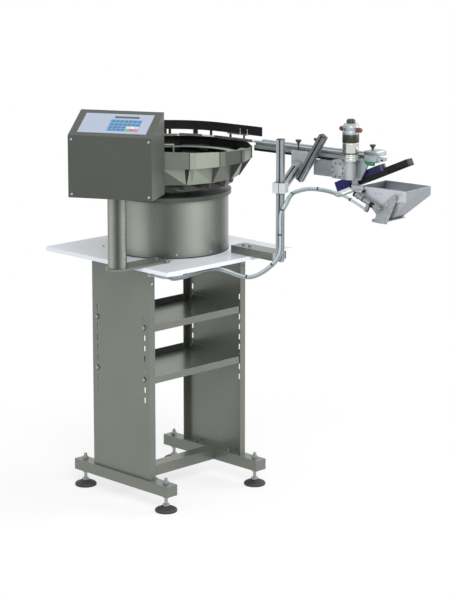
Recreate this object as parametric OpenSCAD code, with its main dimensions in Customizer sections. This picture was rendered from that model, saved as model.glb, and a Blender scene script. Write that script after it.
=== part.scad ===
// Vibratory bowl feeder on a stand: a faceted bowl on a torsion drive lifts small parts up a
// spiral track and hands them to a straight track, which carries a geared belt unit and a trap hopper.
// The layout is drawn round the bowl's axis, with +X from the left side panel to the right one,
// and is then moved so that the origin lies on the floor under the middle of the whole machine.

/* [Stand] */
// Length of each foot beam
foot_beam_l = 500; // [440:5:600]
// Width of the foot beams and the cross beam
beam_w = 50; // [40:1:60]
// Height of the foot beams and the cross beam
beam_h = 40; // [30:1:50]
// Height of the beams' underside over the floor
beam_z = 61; // [55:1:80]
// Wall of the tubes
tube_wall = 3; // [2:0.5:4]
// Distance between the foot beams' outer sides
stand_w = 500; // [440:5:600]
// Distance of each levelling foot from its beam's end
foot_inset = 32; // [28:1:60]
// Diameter of the levelling feet
foot_d = 80; // [60:1:100]
// Height of the side panels
panel_h = 779; // [720:1:850]
// Width of the side panels, front to back
panel_w = 306; // [280:1:340]
// Depth of the side panels' folded edges
panel_flange = 25; // [20:1:35]
// Sheet of the side panels
panel_t = 3; // [2:0.5:4]
// Height of the lowest row of slots over the panel's foot
slot_z0 = 293; // [200:1:320]
// Distance between rows of slots
slot_pitch = 38; // [34:1:42]
// Length of a slot
slot_l = 22; // [18:1:26]
// Width of a slot
slot_w = 8.4; // [7:0.2:10]
// Distance of the slot columns from the panel's edges
slot_edge = 28; // [20:1:50]
// Height of the shelves' lips
shelf_lip = 25; // [20:1:32]
// Sheet of the shelves
shelf_t = 2; // [1.5:0.5:3]

/* [Table] */
// Width of the table top
table_w = 622; // [600:1:700]
// Depth of the table top
table_d = 646; // [600:1:700]
// Thickness of the table top
table_t = 15; // [12:1:20]
// Width of the plate under the table
sub_w = 584; // [560:1:600]
// Depth of the plate under the table
sub_d = 388; // [320:1:420]
// Thickness of the plate under the table
sub_t = 5; // [4:1:8]

/* [Drive] */
// Radius of the drum
drum_r = 216; // [205:1:225]
// Height of the drum
drum_h = 199; // [185:1:215]
// Sheet of the drum
drum_t = 2; // [1.5:0.5:3]
// Thickness of the rubber seal under the drum
seal_t = 4; // [3:0.5:6]
// Radius of the drive's top plate
top_plate_r = 226; // [222:1:235]
// Thickness of the drive's top plate
top_plate_t = 15; // [12:1:20]
// Lean of the leaf springs from upright
spring_lean = 20; // [10:1:25]
// Air gap between magnet and armature
magnet_gap = 1.5; // [1:0.1:2.5]

/* [Bowl] */
// Radius of the bowl's upper band over its corners
bowl_r = 303; // [290:1:320]
// Height of the bowl's upper band where it is highest
band_h = 69; // [60:1:80]
// Height of the bowl's upper cone
cone_h = 63; // [55:1:70]
// Height of the bowl's lower cone
neck_h = 27; // [20:1:32]
// Sheet of the bowl
bowl_t = 3; // [2:0.5:4]
// Rise of the track in one turn
track_pitch = 38; // [34:1:44]
// Width of the track
track_w = 34; // [28:1:38]
// Height of the guard wall
guard_h = 34; // [26:1:44]

/* [Control box] */
// Width of the control box
box_w = 300; // [260:1:330]
// Depth of the control box
box_d = 145; // [120:1:170]
// Height of the control box at its front
box_front_h = 215; // [190:1:240]
// Height of the control box at its back
box_back_h = 285; // [260:1:310]
// Sheet of the control box
box_t = 2; // [1.5:0.5:3]
// Turn of the control box towards the operator
box_yaw = -60; // [-70:1:-50]
// Diameter of the control box's post
post_d = 65; // [55:1:75]
// Height of the control box over the floor
box_z = 1160; // [1120:1:1200]

/* [Track] */
// Length of the straight track
rail_l = 546; // [500:2:600]
// Width of the straight track
rail_w = 62; // [56:1:70]
// Height of the straight track
rail_h = 25; // [22:1:30]
// Width of the slotted support profile
profile_w = 25; // [22:1:30]
// Height of the slotted support post
support_post_h = 434; // [400:1:460]

/* [Belt unit] */
// Radius of the motor
motor_r = 29; // [26:1:30]
// Width of the belt, which stands on its edge
belt_w = 35; // [30:1:38]
// Distance between the belt's end rollers
belt_l = 192; // [180:1:200]
// Radius over the belt at its end rollers
belt_r = 18; // [15:0.5:18]
// Rise of the belt unit
belt_rise = 23.5; // [22:0.5:24]

/* [Hopper] */
// Width of the hopper's mouth
hopper_w = 150; // [130:1:170]
// Length of the hopper's mouth
hopper_l = 192; // [180:1:200]
// Height of the hopper's upright rim
hopper_rim = 32; // [28:1:36]
// Height of the whole hopper
hopper_h = 110; // [104:1:114]

/* [Hidden] */
$fn = 64;

// Clearances and small fasteners
gap = 0.3;
hole_gap = 0.25;
bolt_r = 4;
screw_r = 2.5;
stud_r = 6;

// Heights worked out from the floor up
panel_z = beam_z + beam_h;
sub_z = panel_z + panel_h;
table_z = sub_z + sub_t;
top_z = table_z + table_t;
drum_z = top_z + seal_t;
drum_top = drum_z + drum_h;
moving_gap = 1;
plate_z = drum_top + moving_gap;
hub_z = plate_z + top_plate_t;
hub_h = 25;
neck_z = hub_z + hub_h;
cone_z = neck_z + neck_h;
band_z = cone_z + cone_h;
rim_z = band_z + band_h;

// Stand
panel_x = stand_w / 2 - 11;
slot_rows = 9;
upper_row = 7;
lower_row = 2;
shelf_bolt_z = 15;
shelf_w = 2 * (panel_x - panel_t) - 2 * gap;
shelf_d = panel_w - 2 * panel_t - 2 * gap;
slot_y = panel_w / 2 - slot_edge;
foot_y = foot_beam_l / 2 - foot_inset;
foot_x = stand_w / 2 - beam_w / 2;
disc_h = 20;
cable_hole_r = 40;

// Colours
steel_green = [0.45, 0.47, 0.43];
brushed = [0.62, 0.64, 0.60];
bright = [0.80, 0.81, 0.82];
aluminium = [0.70, 0.74, 0.77];
black = [0.08, 0.08, 0.09];
white = [0.90, 0.92, 0.95];
rubber = [0.12, 0.12, 0.12];

// Bowl: sixteen bent sheets round the axis, each a little proud of the next one's start
facets = 16;
facet = 360 / facets;
facet_phase = 16;
cone_r = bowl_r - 45;
neck_r = cone_r - 18;
floor_r = neck_r - 8;
exit_az = 6.3;
exit_z = band_z + 40;

// Straight track: it leaves the bowl along a tangent
rail_az = exit_az - 90;
rail_v = 296;
rail_start = 183;
rail_z = exit_z + 1;

// Control box and its post
box_x = -397;
box_y = -162;
arm_t = 8;
arm_w = 80;
arm_x0 = -185;

// Support post of the straight track
beam2_x0 = 88;
beam2_w = 68;
beam2_y0 = -231;
beam2_y1 = -440;
beam2_h = 28;
post2_x = 104;
post2_off = 20;
post2_yaw = 28;

// Belt unit, placed along the track: its rollers stand square to the slope
nose_s = 376;
nose_z = 1149;
belt_t = -10;
bar_l = 319;
bar_low = 6.5;

// Hopper, placed along the track
hopper_s = 490;
hopper_t0 = -43;
hopper_z = 1056;
outlet_s = hopper_s + 58;
outlet_t = -18;
outlet_w = 70;
outlet_l = 56;
sheet_t = 2;

// Reach of the whole machine, from which the origin is set
bar_end_s = nose_s + bar_l * cos(belt_rise) + (belt_w / 2 + bar_low) * sin(belt_rise);
function rail_x(s, t) = cos(rail_az) * (rail_start + s) - sin(rail_az) * (rail_v + t);
function rail_y(s, t) = sin(rail_az) * (rail_start + s) + cos(rail_az) * (rail_v + t);
reach_left = box_x - box_w / 2 * cos(box_yaw) + box_d / 2 * sin(box_yaw);
reach_right = rail_x(hopper_s + hopper_l, hopper_t0 + hopper_w);
reach_back = table_d / 2;
reach_front = min(rail_y(hopper_s + hopper_l, hopper_t0), rail_y(bar_end_s, belt_t - belt_r));

module placed() {
    translate([-(reach_left + reach_right) / 2, -(reach_back + reach_front) / 2, 0]) children();
}

// Frame of the straight track: x runs along it from the bowl, y across it away from the operator
module on_rail() {
    rotate([0, 0, rail_az]) translate([rail_start, rail_v, 0]) children();
}

// ---------- stand ----------

module tube(l, w, h, t) {
    difference() {
        translate([-w / 2, -l / 2, 0]) cube([w, l, h]);
        translate([-w / 2 + t, -l / 2 + t, t]) cube([w - 2 * t, l - 2 * t, h - 2 * t]);
    }
}

module foot_beam(side) {
    translate([side * foot_x, 0, beam_z]) difference() {
        tube(foot_beam_l, beam_w, beam_h, tube_wall);
        for (y = [-foot_y, foot_y]) translate([0, y, -1])
            cylinder(r = stud_r + hole_gap, h = beam_h + 2);
        for (y = [-1, 1]) translate([-side * (foot_x - panel_bolt_x), y * panel_bolt_y, beam_h - 8])
            cylinder(r = bolt_r + hole_gap, h = 10);
    }
}
panel_bolt_x = panel_x - 22;
panel_bolt_y = 90;

module foot_beams() {
    color(steel_green) placed() for (side = [-1, 1]) foot_beam(side);
}

module cross_beam() {
    l = 2 * (foot_x - beam_w / 2);
    color(steel_green) placed() translate([0, 0, beam_z]) rotate([0, 0, 90])
        tube(l, beam_w, beam_h, tube_wall);
}

module at_feet() {
    placed() for (x = [-foot_x, foot_x], y = [-foot_y, foot_y]) translate([x, y, 0]) children();
}

module levelling_discs() {
    r = foot_d / 2;
    color(rubber) at_feet() rotate_extrude() polygon([
        [0, 0], [r - 2, 0], [r, 2], [r, 8], [r - 4, 12], [18, disc_h], [stud_r + gap, disc_h],
        [stud_r + gap, 9], [0, 9]
    ]);
}

module levelling_studs() {
    color(bright) at_feet() translate([0, 0, 9]) {
        cylinder(r = stud_r, h = panel_z + 22 - 9);
        translate([0, 0, disc_h - 9 + gap]) cylinder(r = 13, h = 8, $fn = 6);
        translate([0, 0, beam_z - 9 - 10 - gap]) nut(10, stud_r);
        translate([0, 0, panel_z - 9 + gap]) nut(10, stud_r);
    }
}

module nut(h, r) {
    difference() {
        cylinder(r = r * 1.9, h = h, $fn = 6);
        translate([0, 0, -1]) cylinder(r = r + 0.1, h = h + 2);
    }
}

module slot(l, w, t) {
    rotate([0, 90, 0]) {
        translate([-l / 2 + w / 2, 0, 0]) cylinder(r = w / 2, h = t);
        translate([l / 2 - w / 2, 0, 0]) cylinder(r = w / 2, h = t);
    }
    translate([0, -w / 2, -l / 2 + w / 2]) cube([t, w, l - w]);
}

// The left panel; the right one is its mirror image
module panel() {
    flange_l = 40;
    difference() {
        translate([-panel_x, 0, panel_z]) union() {
            translate([0, -panel_w / 2, 0]) cube([panel_t, panel_w, panel_h]);
            for (s = [0, 1]) translate([0, s * (panel_w - panel_t) - panel_w / 2, 0])
                cube([panel_flange, panel_t, panel_h]);
            for (z = [0, panel_h - panel_t]) translate([0, -panel_w / 2 + panel_t + 2, z])
                cube([flange_l, panel_w - 2 * panel_t - 4, panel_t]);
        }
        for (y = [-slot_y, slot_y], i = [0 : slot_rows - 1])
            translate([-panel_x - 1, y, panel_z + slot_z0 + i * slot_pitch])
                slot(slot_l, slot_w, panel_t + 2);
        for (y = [-1, 1]) translate([-panel_bolt_x, y * panel_bolt_y, panel_z - 1])
            cylinder(r = bolt_r + hole_gap, h = panel_h + 2);
        translate([-panel_x + 14, -panel_w / 2 - 1, panel_z + panel_h - 60]) rotate([-90, 0, 0])
            cylinder(r = 4, h = panel_t + 2);
    }
}

module side_panel_left() color(steel_green) placed() panel();
module side_panel_right() color(steel_green) placed() mirror([1, 0, 0]) panel();

function row_z(i) = panel_z + slot_z0 + i * slot_pitch;

module shelf(row) {
    z = row_z(row) - shelf_bolt_z;
    difference() {
        translate([-shelf_w / 2, -shelf_d / 2, z]) {
            cube([shelf_w, shelf_d, shelf_t]);
            for (y = [0, shelf_d - shelf_t]) translate([panel_flange, y, 0])
                cube([shelf_w - 2 * panel_flange, shelf_t, shelf_lip]);
            for (x = [0, shelf_w - shelf_t]) translate([x, 2, 0])
                cube([shelf_t, shelf_d - 4, shelf_lip]);
        }
        for (y = [-slot_y, slot_y]) translate([-shelf_w, y, row_z(row)]) rotate([0, 90, 0])
            cylinder(r = bolt_r + hole_gap, h = 2 * shelf_w);
    }
}

module shelves() {
    color(steel_green) placed() for (row = [lower_row, upper_row]) shelf(row);
}

// Hexagon bolt along +Z: its head lies under z = 0, and its shank above
module hex_bolt(l) {
    translate([0, 0, -5.5]) cylinder(r = 7.5, h = 5.5, $fn = 6);
    cylinder(r = bolt_r, h = l);
}

module frame_bolts() {
    color(bright) placed() {
        for (s = [-1, 1], y = [-slot_y, slot_y], row = [lower_row, upper_row])
            translate([s * panel_x, y, row_z(row)]) rotate([0, -s * 90, 0])
                hex_bolt(panel_t + gap + shelf_t + 7);
        for (x = [-panel_bolt_x, panel_bolt_x], y = [-panel_bolt_y, panel_bolt_y]) {
            translate([x, y, panel_z + panel_t]) rotate([180, 0, 0]) hex_bolt(panel_t + 6);
            translate([x, y, sub_z - panel_t]) hex_bolt(panel_t + sub_t + 8);
        }
        for (y = arm_bolt_y) translate([arm_bolt_x, y, top_z + arm_t]) rotate([180, 0, 0])
            hex_bolt(arm_t + 10);
        for (y = beam_bolt_y) translate([beam2_x0 + beam2_w / 2, y, top_z + beam2_h])
            rotate([180, 0, 0]) hex_bolt(beam2_h + 10);
        hose_elbow();
    }
}
elbow_at = [-265, -205, 866];
elbow_reach = 20;
elbow_thread_r = 5;

// Push-in elbow that takes the hose's end and screws up into the plate under the table
module hose_elbow() {
    translate(elbow_at) {
        translate([0, gap / 3, 0]) rotate([-90, 0, 0]) cylinder(r = 7, h = elbow_reach);
        translate([0, elbow_reach, -8]) cylinder(r = 8, h = sub_z - gap - elbow_at[2] + 8);
        translate([0, elbow_reach, 0]) cylinder(r = elbow_thread_r, h = table_z - gap - elbow_at[2]);
    }
}

arm_bolt_x = -203;
arm_bolt_y = [-206, -149];
beam_bolt_y = [-294, -262];

// ---------- table ----------

module sub_plate() {
    color(steel_green) placed() difference() {
        translate([-sub_w / 2, -sub_d / 2, sub_z]) cube([sub_w, sub_d, sub_t]);
        translate([0, 0, sub_z - 1]) cylinder(r = cable_hole_r, h = sub_t + 2);
        for (x = [-panel_bolt_x, panel_bolt_x], y = [-panel_bolt_y, panel_bolt_y])
            translate([x, y, sub_z - 1]) cylinder(r = bolt_r + hole_gap, h = sub_t + 2);
        at_table_screws() translate([0, 0, sub_z - 1]) cylinder(r = screw_r + hole_gap, h = 9);
        translate([elbow_at[0], elbow_at[1] + elbow_reach, sub_z - 1])
            cylinder(r = elbow_thread_r + hole_gap, h = sub_t + 2);
    }
}

table_screw_x = 160;
table_screw_y = 180;
module at_table_screws() {
    for (x = [-table_screw_x, table_screw_x], y = [-table_screw_y, table_screw_y])
        translate([x, y, 0]) children();
}

mount_r = 140;
module at_mounts() {
    for (a = [45 : 90 : 315]) rotate([0, 0, a]) translate([mount_r, 0, 0]) children();
}

module table_top() {
    hole_d = 11;
    color(white) placed() difference() {
        translate([-table_w / 2, -table_d / 2, table_z]) cube([table_w, table_d, table_t]);
        translate([0, 0, table_z - 1]) cylinder(r = cable_hole_r, h = table_t + 2);
        for (x = [-panel_bolt_x, panel_bolt_x], y = [-panel_bolt_y, panel_bolt_y])
            translate([x, y, table_z - 1]) cylinder(r = bolt_r + hole_gap, h = 10);
        translate([0, 0, top_z - hole_d]) {
            at_mounts() cylinder(r = bolt_r + hole_gap, h = hole_d + 1);
            for (y = arm_bolt_y) translate([arm_bolt_x, y, 0])
                cylinder(r = bolt_r + hole_gap, h = hole_d + 1);
            for (y = beam_bolt_y) translate([beam2_x0 + beam2_w / 2, y, 0])
                cylinder(r = bolt_r + hole_gap, h = hole_d + 1);
        }
        at_table_screws() translate([0, 0, table_z - 1])
            cylinder(r = screw_r + hole_gap, h = table_t + 2);
    }
}

// ---------- drum and drive ----------

ring_t = 8;
ring_h = 20;
drum_screw_z = 10;
drum_screws = 10;

module drum_seal() {
    color(black) placed() translate([0, 0, top_z]) difference() {
        cylinder(r = drum_r + 1, h = seal_t, $fn = 96);
        translate([0, 0, -1]) cylinder(r = drum_r - drum_t - ring_t - gap, h = seal_t + 2, $fn = 96);
    }
}

module drum_ring() {
    r = drum_r - drum_t - gap;
    color(steel_green) placed() translate([0, 0, drum_z]) difference() {
        cylinder(r = r, h = ring_h, $fn = 96);
        translate([0, 0, -1]) cylinder(r = r - ring_t, h = ring_h + 2, $fn = 96);
        at_drum_screws() translate([drum_r - 20, 0, drum_screw_z]) rotate([0, 90, 0])
            cylinder(r = screw_r + hole_gap, h = 30);
    }
}

module at_drum_screws() {
    for (i = [0 : drum_screws - 1]) rotate([0, 0, (i + 0.5) * 360 / drum_screws]) children();
}

seam_az = 279.7;
seam_w = 14;

module drum_cover() {
    lip = 10;
    color(brushed) placed() translate([0, 0, drum_z]) difference() {
        union() {
            cylinder(r = drum_r, h = drum_h, $fn = 96);
            rotate([0, 0, seam_az]) translate([drum_r - 1.2, -seam_w / 2, 0]) cube([2, seam_w, drum_h - 4]);
        }
        translate([0, 0, -1]) cylinder(r = drum_r - drum_t, h = drum_h - drum_t + 1, $fn = 96);
        cylinder(r = drum_r - lip, h = drum_h + 1, $fn = 96);
        at_drum_screws() translate([drum_r - 20, 0, drum_screw_z]) rotate([0, 90, 0])
            cylinder(r = screw_r + hole_gap, h = 30);
    }
}

// Round-headed screw along +Z: its head lies over z = 0, and its shank under
module cap_screw(l, r) {
    rotate_extrude($fn = 32) polygon([
        [0, -l], [screw_r, -l], [screw_r, 0], [r, 0], [r, r * 0.35], [r * 0.6, r * 0.6], [0, r * 0.6]
    ]);
}

module cover_screws() {
    color(bright) placed() {
        translate([0, 0, drum_z + drum_screw_z]) at_drum_screws()
            translate([drum_r, 0, 0]) rotate([0, 90, 0]) cap_screw(drum_t + 6, 4.5);
        translate([0, 0, top_z]) at_table_screws() cap_screw(table_t + 3, 5);
        in_box() at_box_screws() translate([0, -box_d / 2, 0]) rotate([90, 0, 0])
            cap_screw(box_t + 6, 4.5);
    }
}

mount_h = 30;
base_t = 22;
base_r = 185;
base_z = top_z + mount_h;

module rubber_mounts() {
    color(rubber) placed() translate([0, 0, top_z]) at_mounts() {
        cylinder(r = 22, h = mount_h);
        translate([0, 0, -10]) cylinder(r = bolt_r, h = mount_h + 20);
    }
}

spring_r = 150;
spring_w = 40;
spring_t = 8;
spring_l = 128;
spring_z = (base_z + base_t + plate_z) / 2;

module at_springs() {
    for (a = [0 : 90 : 270]) rotate([0, 0, a]) translate([spring_r, 0, spring_z])
        rotate([-spring_lean, 0, 0]) children();
}

module leaf_springs() {
    leaf = 2;
    color(brushed) placed() at_springs() {
        for (i = [0 : 2]) translate([-spring_w / 2, -spring_t / 2 + i * (spring_t - leaf) / 2, -spring_l / 2])
            cube([spring_w, leaf, spring_l]);
        for (z = [-spring_l / 2, spring_l / 2 - 30])
            translate([-spring_w / 2, -spring_t / 2, z]) cube([spring_w, spring_t, 30]);
    }
}

core_w = 80;
core_d = 50;
core_z = base_z + base_t + 50;
core_h = 55;

module drive_base() {
    lug_h = 52;
    color(steel_green) placed() difference() {
        union() {
            translate([0, 0, base_z]) cylinder(r = base_r, h = base_t, $fn = 96);
            translate([-core_w / 2, -core_d / 2, base_z + base_t - 1])
                cube([core_w, core_d, core_z - base_z - base_t + 1]);
            intersection() {
                at_springs() translate([-spring_w / 2 - 2, spring_t / 2, -spring_l / 2 - 12])
                    cube([spring_w + 4, 26, lug_h]);
                translate([0, 0, base_z + 1]) cylinder(r = base_r, h = 200);
            }
        }
        translate([0, 0, base_z - 1]) at_mounts() cylinder(r = bolt_r + hole_gap, h = 12);
        translate([0, 0, base_z - 1]) cylinder(r = 20, h = base_t + 2 - 20);
    }
}

leg_w = 16;
mid_leg_w = 26;
leg_h = 38;

module magnet_core() {
    color([0.35, 0.36, 0.38]) translate([-core_w / 2, -core_d / 2, core_z]) {
        cube([core_w, core_d, core_h - leg_h]);
        for (x = [0, core_w - leg_w]) translate([x, 0, 0]) cube([leg_w, core_d, core_h]);
        translate([(core_w - mid_leg_w) / 2, 0, 0]) cube([mid_leg_w, core_d, core_h]);
    }
}

module magnet_coil() {
    t = (core_w - 2 * leg_w - mid_leg_w) / 2 - gap;
    color([0.66, 0.36, 0.16]) translate([0, 0, core_z + core_h - leg_h + gap]) difference() {
        translate([-mid_leg_w / 2 - t, -core_d / 2 - t, 0])
            cube([mid_leg_w + 2 * t, core_d + 2 * t, leg_h - 6]);
        translate([-mid_leg_w / 2 - gap, -core_d / 2 - gap, -1])
            cube([mid_leg_w + 2 * gap, core_d + 2 * gap, leg_h]);
    }
}

module electromagnet() {
    placed() magnet_core();
    placed() magnet_coil();
}

module armature() {
    z = core_z + core_h + magnet_gap;
    color([0.40, 0.41, 0.43]) placed() translate([-core_w / 2, -core_d / 2, z])
        cube([core_w, core_d, plate_z - z]);
}

clamp_bolt_r = 8;

module top_plate() {
    lug_h = 48;
    color(steel_green) placed() difference() {
        union() {
            translate([0, 0, plate_z]) cylinder(r = top_plate_r, h = top_plate_t, $fn = 96);
            intersection() {
                at_springs() translate([-spring_w / 2 - 2, -spring_t / 2 - moving_gap - 26, spring_l / 2 - 36])
                    cube([spring_w + 4, 26, lug_h]);
                translate([0, 0, plate_z - 60]) cylinder(r = drum_r - 12, h = 61);
            }
        }
        translate([0, 0, plate_z + 3]) cylinder(r = clamp_bolt_r + hole_gap, h = top_plate_t);
    }
}

hub_r = 120;

module bowl_hub() {
    color(steel_green) placed() translate([0, 0, hub_z]) difference() {
        cylinder(r = hub_r, h = hub_h);
        translate([0, 0, -1]) cylinder(r = clamp_bolt_r + hole_gap, h = hub_h + 2);
    }
}

module centre_clamp() {
    washer_z = neck_z + bowl_t;
    color(bright) placed() {
        translate([0, 0, plate_z + 4]) cylinder(r = clamp_bolt_r, h = washer_z - plate_z + 24);
        translate([0, 0, washer_z]) rotate_extrude()
            polygon([[0, 0], [45, 0], [45, 4], [20, 14], [0, 14]]);
        translate([0, 0, washer_z + 14]) cylinder(r = 15, h = 12, $fn = 6);
    }
}

// ---------- bowl ----------

function corner(i) = facet_phase + i * facet;

// One ring of the folded wall: each sheet starts at a corner, bends outwards by "crease" at a fifth
// of its width and ends short of the next corner, "sink" inside it and "back" before it, which
// leaves the saw-tooth steps
function ring(r, sink, back, crease = 0) = [
    for (i = [0 : facets - 1]) let (
        a = corner(i), b = corner(i + 1), m = (a + b) / 2,
        p = [r * cos(a), r * sin(a)],
        q = [r * cos(b) - sink * cos(m) + back * sin(m), r * sin(b) - sink * sin(m) - back * cos(m)]
    ) each [p, 0.79 * p + 0.21 * q + crease * [cos(m), sin(m)], q]
];
band_crease = 3;

function lift(points, z) = [for (p = points) [p[0], p[1], z]];

function azimuth(p) = (atan2(p[1], p[0]) + 360) % 360;

rim_fall = 32;

// The rim is highest at the operator's left, falls towards the exit, and stays low round the back
rim_high_az = 200;
rim_low_az = 322;
function rim_drop(a) =
    a < 130 ? rim_fall :
    a < rim_high_az ? rim_fall * (rim_high_az - a) / (rim_high_az - 130) :
    a < rim_low_az ? rim_fall * (a - rim_high_az) / (rim_low_az - rim_high_az) : rim_fall;

function lift_rim(points, dz) = [for (p = points) [p[0], p[1], rim_z - rim_drop(azimuth(p)) + dz]];

// Closed skin over a stack of rings, each with the same number of points
module skin(rings) {
    n = len(rings[0]);
    k = len(rings);
    polyhedron(
        points = [for (r = rings) each r],
        faces = [
            for (j = [0 : k - 2], i = [0 : n - 1]) let (a = j * n + i, b = j * n + (i + 1) % n)
                each [[a, a + n, b], [b, a + n, b + n]],
            [for (i = [0 : n - 1]) i],
            [for (i = [n - 1 : -1 : 0]) (k - 1) * n + i]
        ],
        convexity = 10
    );
}

module bowl_shell() {
    t = bowl_t;
    band = ring(bowl_r, 3, 2, band_crease);
    band_in = ring(bowl_r - t, 3, 2, band_crease);
    color(brushed) placed() difference() {
        skin([
            lift(ring(floor_r, 2, 20), neck_z),
            lift(ring(neck_r, 18, 30), cone_z),
            lift(ring(cone_r, 3, 2), cone_z),
            lift(ring(bowl_r - 3, 24, 16), band_z),
            lift(band, band_z),
            lift_rim(band, 0),
            lift_rim(band_in, 0),
            lift(band_in, band_z + t),
            lift(ring(bowl_r - 3 - t, 24, 16), band_z + t),
            lift(ring(cone_r - t, 3, 2), cone_z + t),
            lift(ring(neck_r - t, 18, 30), cone_z + t),
            lift(ring(floor_r - t, 2, 20), neck_z + t)
        ]);
        translate([0, 0, neck_z - 1]) cylinder(r = clamp_bolt_r + hole_gap, h = t + 2);
    }
}

// Clear radius inside the wall at height z
function wall_r(z) =
    z < cone_z + bowl_t ? (floor_r - bowl_t) * cos(facet / 2) - 18 :
    z < band_z + bowl_t ? let (k = (z - cone_z - bowl_t) / cone_h)
        ((cone_r - bowl_t) * (1 - k) + (bowl_r - 3 - bowl_t) * k) * cos(facet / 2) - 3 - 21 * k :
    (bowl_r - bowl_t) * cos(facet / 2) - 3;

track_t = 2.5;
track_low = neck_z + bowl_t + 6;
track_turns = (exit_z - track_low) / track_pitch;
track_steps = 36;

function track_z(a) = exit_z - (a - exit_az) / 360 * track_pitch;
function track_r(a) = min(wall_r(track_z(a)), wall_r(track_z(a) - track_t)) - gap;

module spiral_track() {
    n = ceil(track_turns * track_steps);
    rings = [
        for (i = [0 : n]) let (
            a = exit_az + i * track_turns * 360 / n,
            r = (track_r(a) + track_r(a + 8) + track_r(a + 16)) / 3,
            ro = min(r, track_r(a)),
            z = track_z(a)
        ) [for (p = [[ro - track_w, z], [ro, z], [ro, z - track_t], [ro - track_w, z - track_t]])
            [p[0] * cos(a), p[0] * sin(a), p[1]]]
    ];
    color(black) placed() skin(rings);
}

strip_t = 1.5;
strip_h = 9;

// Bright strips on the track's inner edge, one to a facet, and plates inside the rim at the front
module track_strips() {
    ri = wall_r(exit_z) - gap - track_w;
    l = 2 * ri * sin(facet / 2) - 12;
    color(bright) placed() for (i = [0 : 10]) {
        a = exit_az + 10 + (i + 0.5) * facet;
        rotate([0, 0, a]) difference() {
            translate([ri * cos(facet / 2) - 7, -l / 2, track_z(a) + gap + 0.9]) cube([9, l, strip_h]);
            translate([ri * cos(facet / 2) - 7 + strip_t, -l / 2 - 1, track_z(a) + gap + 0.9 + strip_t])
                cube([9, l + 2, strip_h]);
        }
    }
    placed() rim_plates();
    placed() rim_handle();
}

module rim_plates() {
    w = 34;
    ro = (bowl_r - bowl_t) * cos(facet / 2);
    for (i = [0 : 4]) {
        a = corner(8 + i) + facet / 2;
        l = 2 * (ro - w) * sin(facet / 2) - 8;
        color(bright) rotate([0, 0, a]) translate([ro - 1.5 - gap, 0, rim_z - rim_drop(a + 12) - 6])
            rotate([0, 0, 1.5]) translate([-w, -l / 2, 0]) cube([w, l, 2]);
    }
}

// Small handle that stands on one of the rim's plates
module rim_handle() {
    l = 44;
    h = 30;
    r = 3.2;
    a = corner(9) + facet / 2;
    color(bright) rotate([0, 0, a - 4]) translate([bowl_r - 34, 0, rim_z - rim_drop(a + 12) - 4]) {
        for (y = [-l / 2, l / 2]) translate([0, y, 0]) {
            cylinder(r = r, h = h);
            translate([0, 0, h]) sphere(r = r);
        }
        translate([0, -l / 2, h]) rotate([-90, 0, 0]) cylinder(r = r, h = l);
    }
}

guard_t = 3;
guard_z = exit_z + 14;
guard_a1 = 165;
guard_end = 188;

// The guard wall follows the rim round the back and runs on straight beside the exit
module guard_wall() {
    r = bowl_r + 1;
    n = 30;
    arc = [for (i = [0 : n]) exit_az + i * (guard_a1 - exit_az) / n];
    ux = [cos(rail_az), sin(rail_az)];
    vx = [-sin(rail_az), cos(rail_az)];
    color(black) placed() translate([0, 0, guard_z]) linear_extrude(guard_h) polygon(concat(
        [r * vx + guard_end * ux],
        [for (a = arc) r * [cos(a), sin(a)]],
        [for (i = [n : -1 : 0]) (r + guard_t) * [cos(arc[i]), sin(arc[i])]],
        [(r + guard_t) * vx + guard_end * ux]
    ));
    color(black) placed() for (i = [0 : 4]) {
        a = corner(i) + facet / 2;
        z = rim_z - rim_drop(a) + gap;
        rotate([0, 0, a]) translate([bowl_r * cos(facet / 2) - bowl_t, -8, z])
            cube([bowl_r * (1 - cos(facet / 2)) + bowl_t + 2, 16, guard_z - z + 2]);
    }
}

module exit_chute() {
    w0 = wall_r(exit_z) - track_w;
    l = rail_start - 2;
    color(bright) placed() rotate([0, 0, rail_az]) {
        translate([gap, w0, exit_z - track_t]) cube([l - gap, bowl_r - w0, track_t]);
        translate([gap, w0, exit_z]) cube([l - gap, 2, 7]);
        hold_down();
    }
}

// Plate over the parts at the exit, fixed to the guard wall, with two pins to set it by
module hold_down() {
    w = 26;
    z = guard_z + 1;
    translate([44, bowl_r + 1 - gap - w, z]) cube([94, w, 2.5]);
    for (x = [97, 130]) translate([x, bowl_r + 1 - w / 2, z]) cylinder(r = 2.2, h = 22, $fn = 24);
}

// ---------- control box ----------

module arm_plate() {
    x0 = box_x - arm_w / 2;
    color(steel_green) placed() translate([0, 0, top_z]) difference() {
        union() {
            translate([box_x, box_y - arm_w / 2, 0]) cube([arm_x0 - box_x, arm_w, arm_t]);
            translate([box_x, box_y, 0]) cylinder(r = arm_w / 2, h = arm_t);
        }
        for (y = arm_bolt_y) translate([arm_bolt_x, y, -1])
            cylinder(r = bolt_r + hole_gap, h = arm_t + 2);
    }
}

module control_post() {
    z = top_z + arm_t;
    color(brushed) placed() translate([box_x, box_y, z]) difference() {
        cylinder(r = post_d / 2, h = box_z - z);
        translate([0, 0, 5]) cylinder(r = post_d / 2 - 2.5, h = box_z - z);
    }
}

module in_box() {
    translate([box_x, box_y, box_z]) rotate([0, 0, box_yaw]) children();
}

cover_t = 2.5;

module at_box_screws() {
    inset = 12;
    for (x = [-box_w / 2 + inset, box_w / 2 - inset], z = [inset, box_front_h - inset - 2])
        translate([x, 0, z]) children();
}

// Side outline of the box: upright back, sloping top and upright front
function box_outline(in) = [
    [-box_d / 2 + cover_t, in], [box_d / 2 - in, in],
    [box_d / 2 - in, box_back_h - in * 1.25],
    [-box_d / 2 + cover_t, box_front_h + slope_rise - in * 1.11]
];
slope_rise = (box_back_h - box_front_h) * cover_t / box_d;

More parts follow.
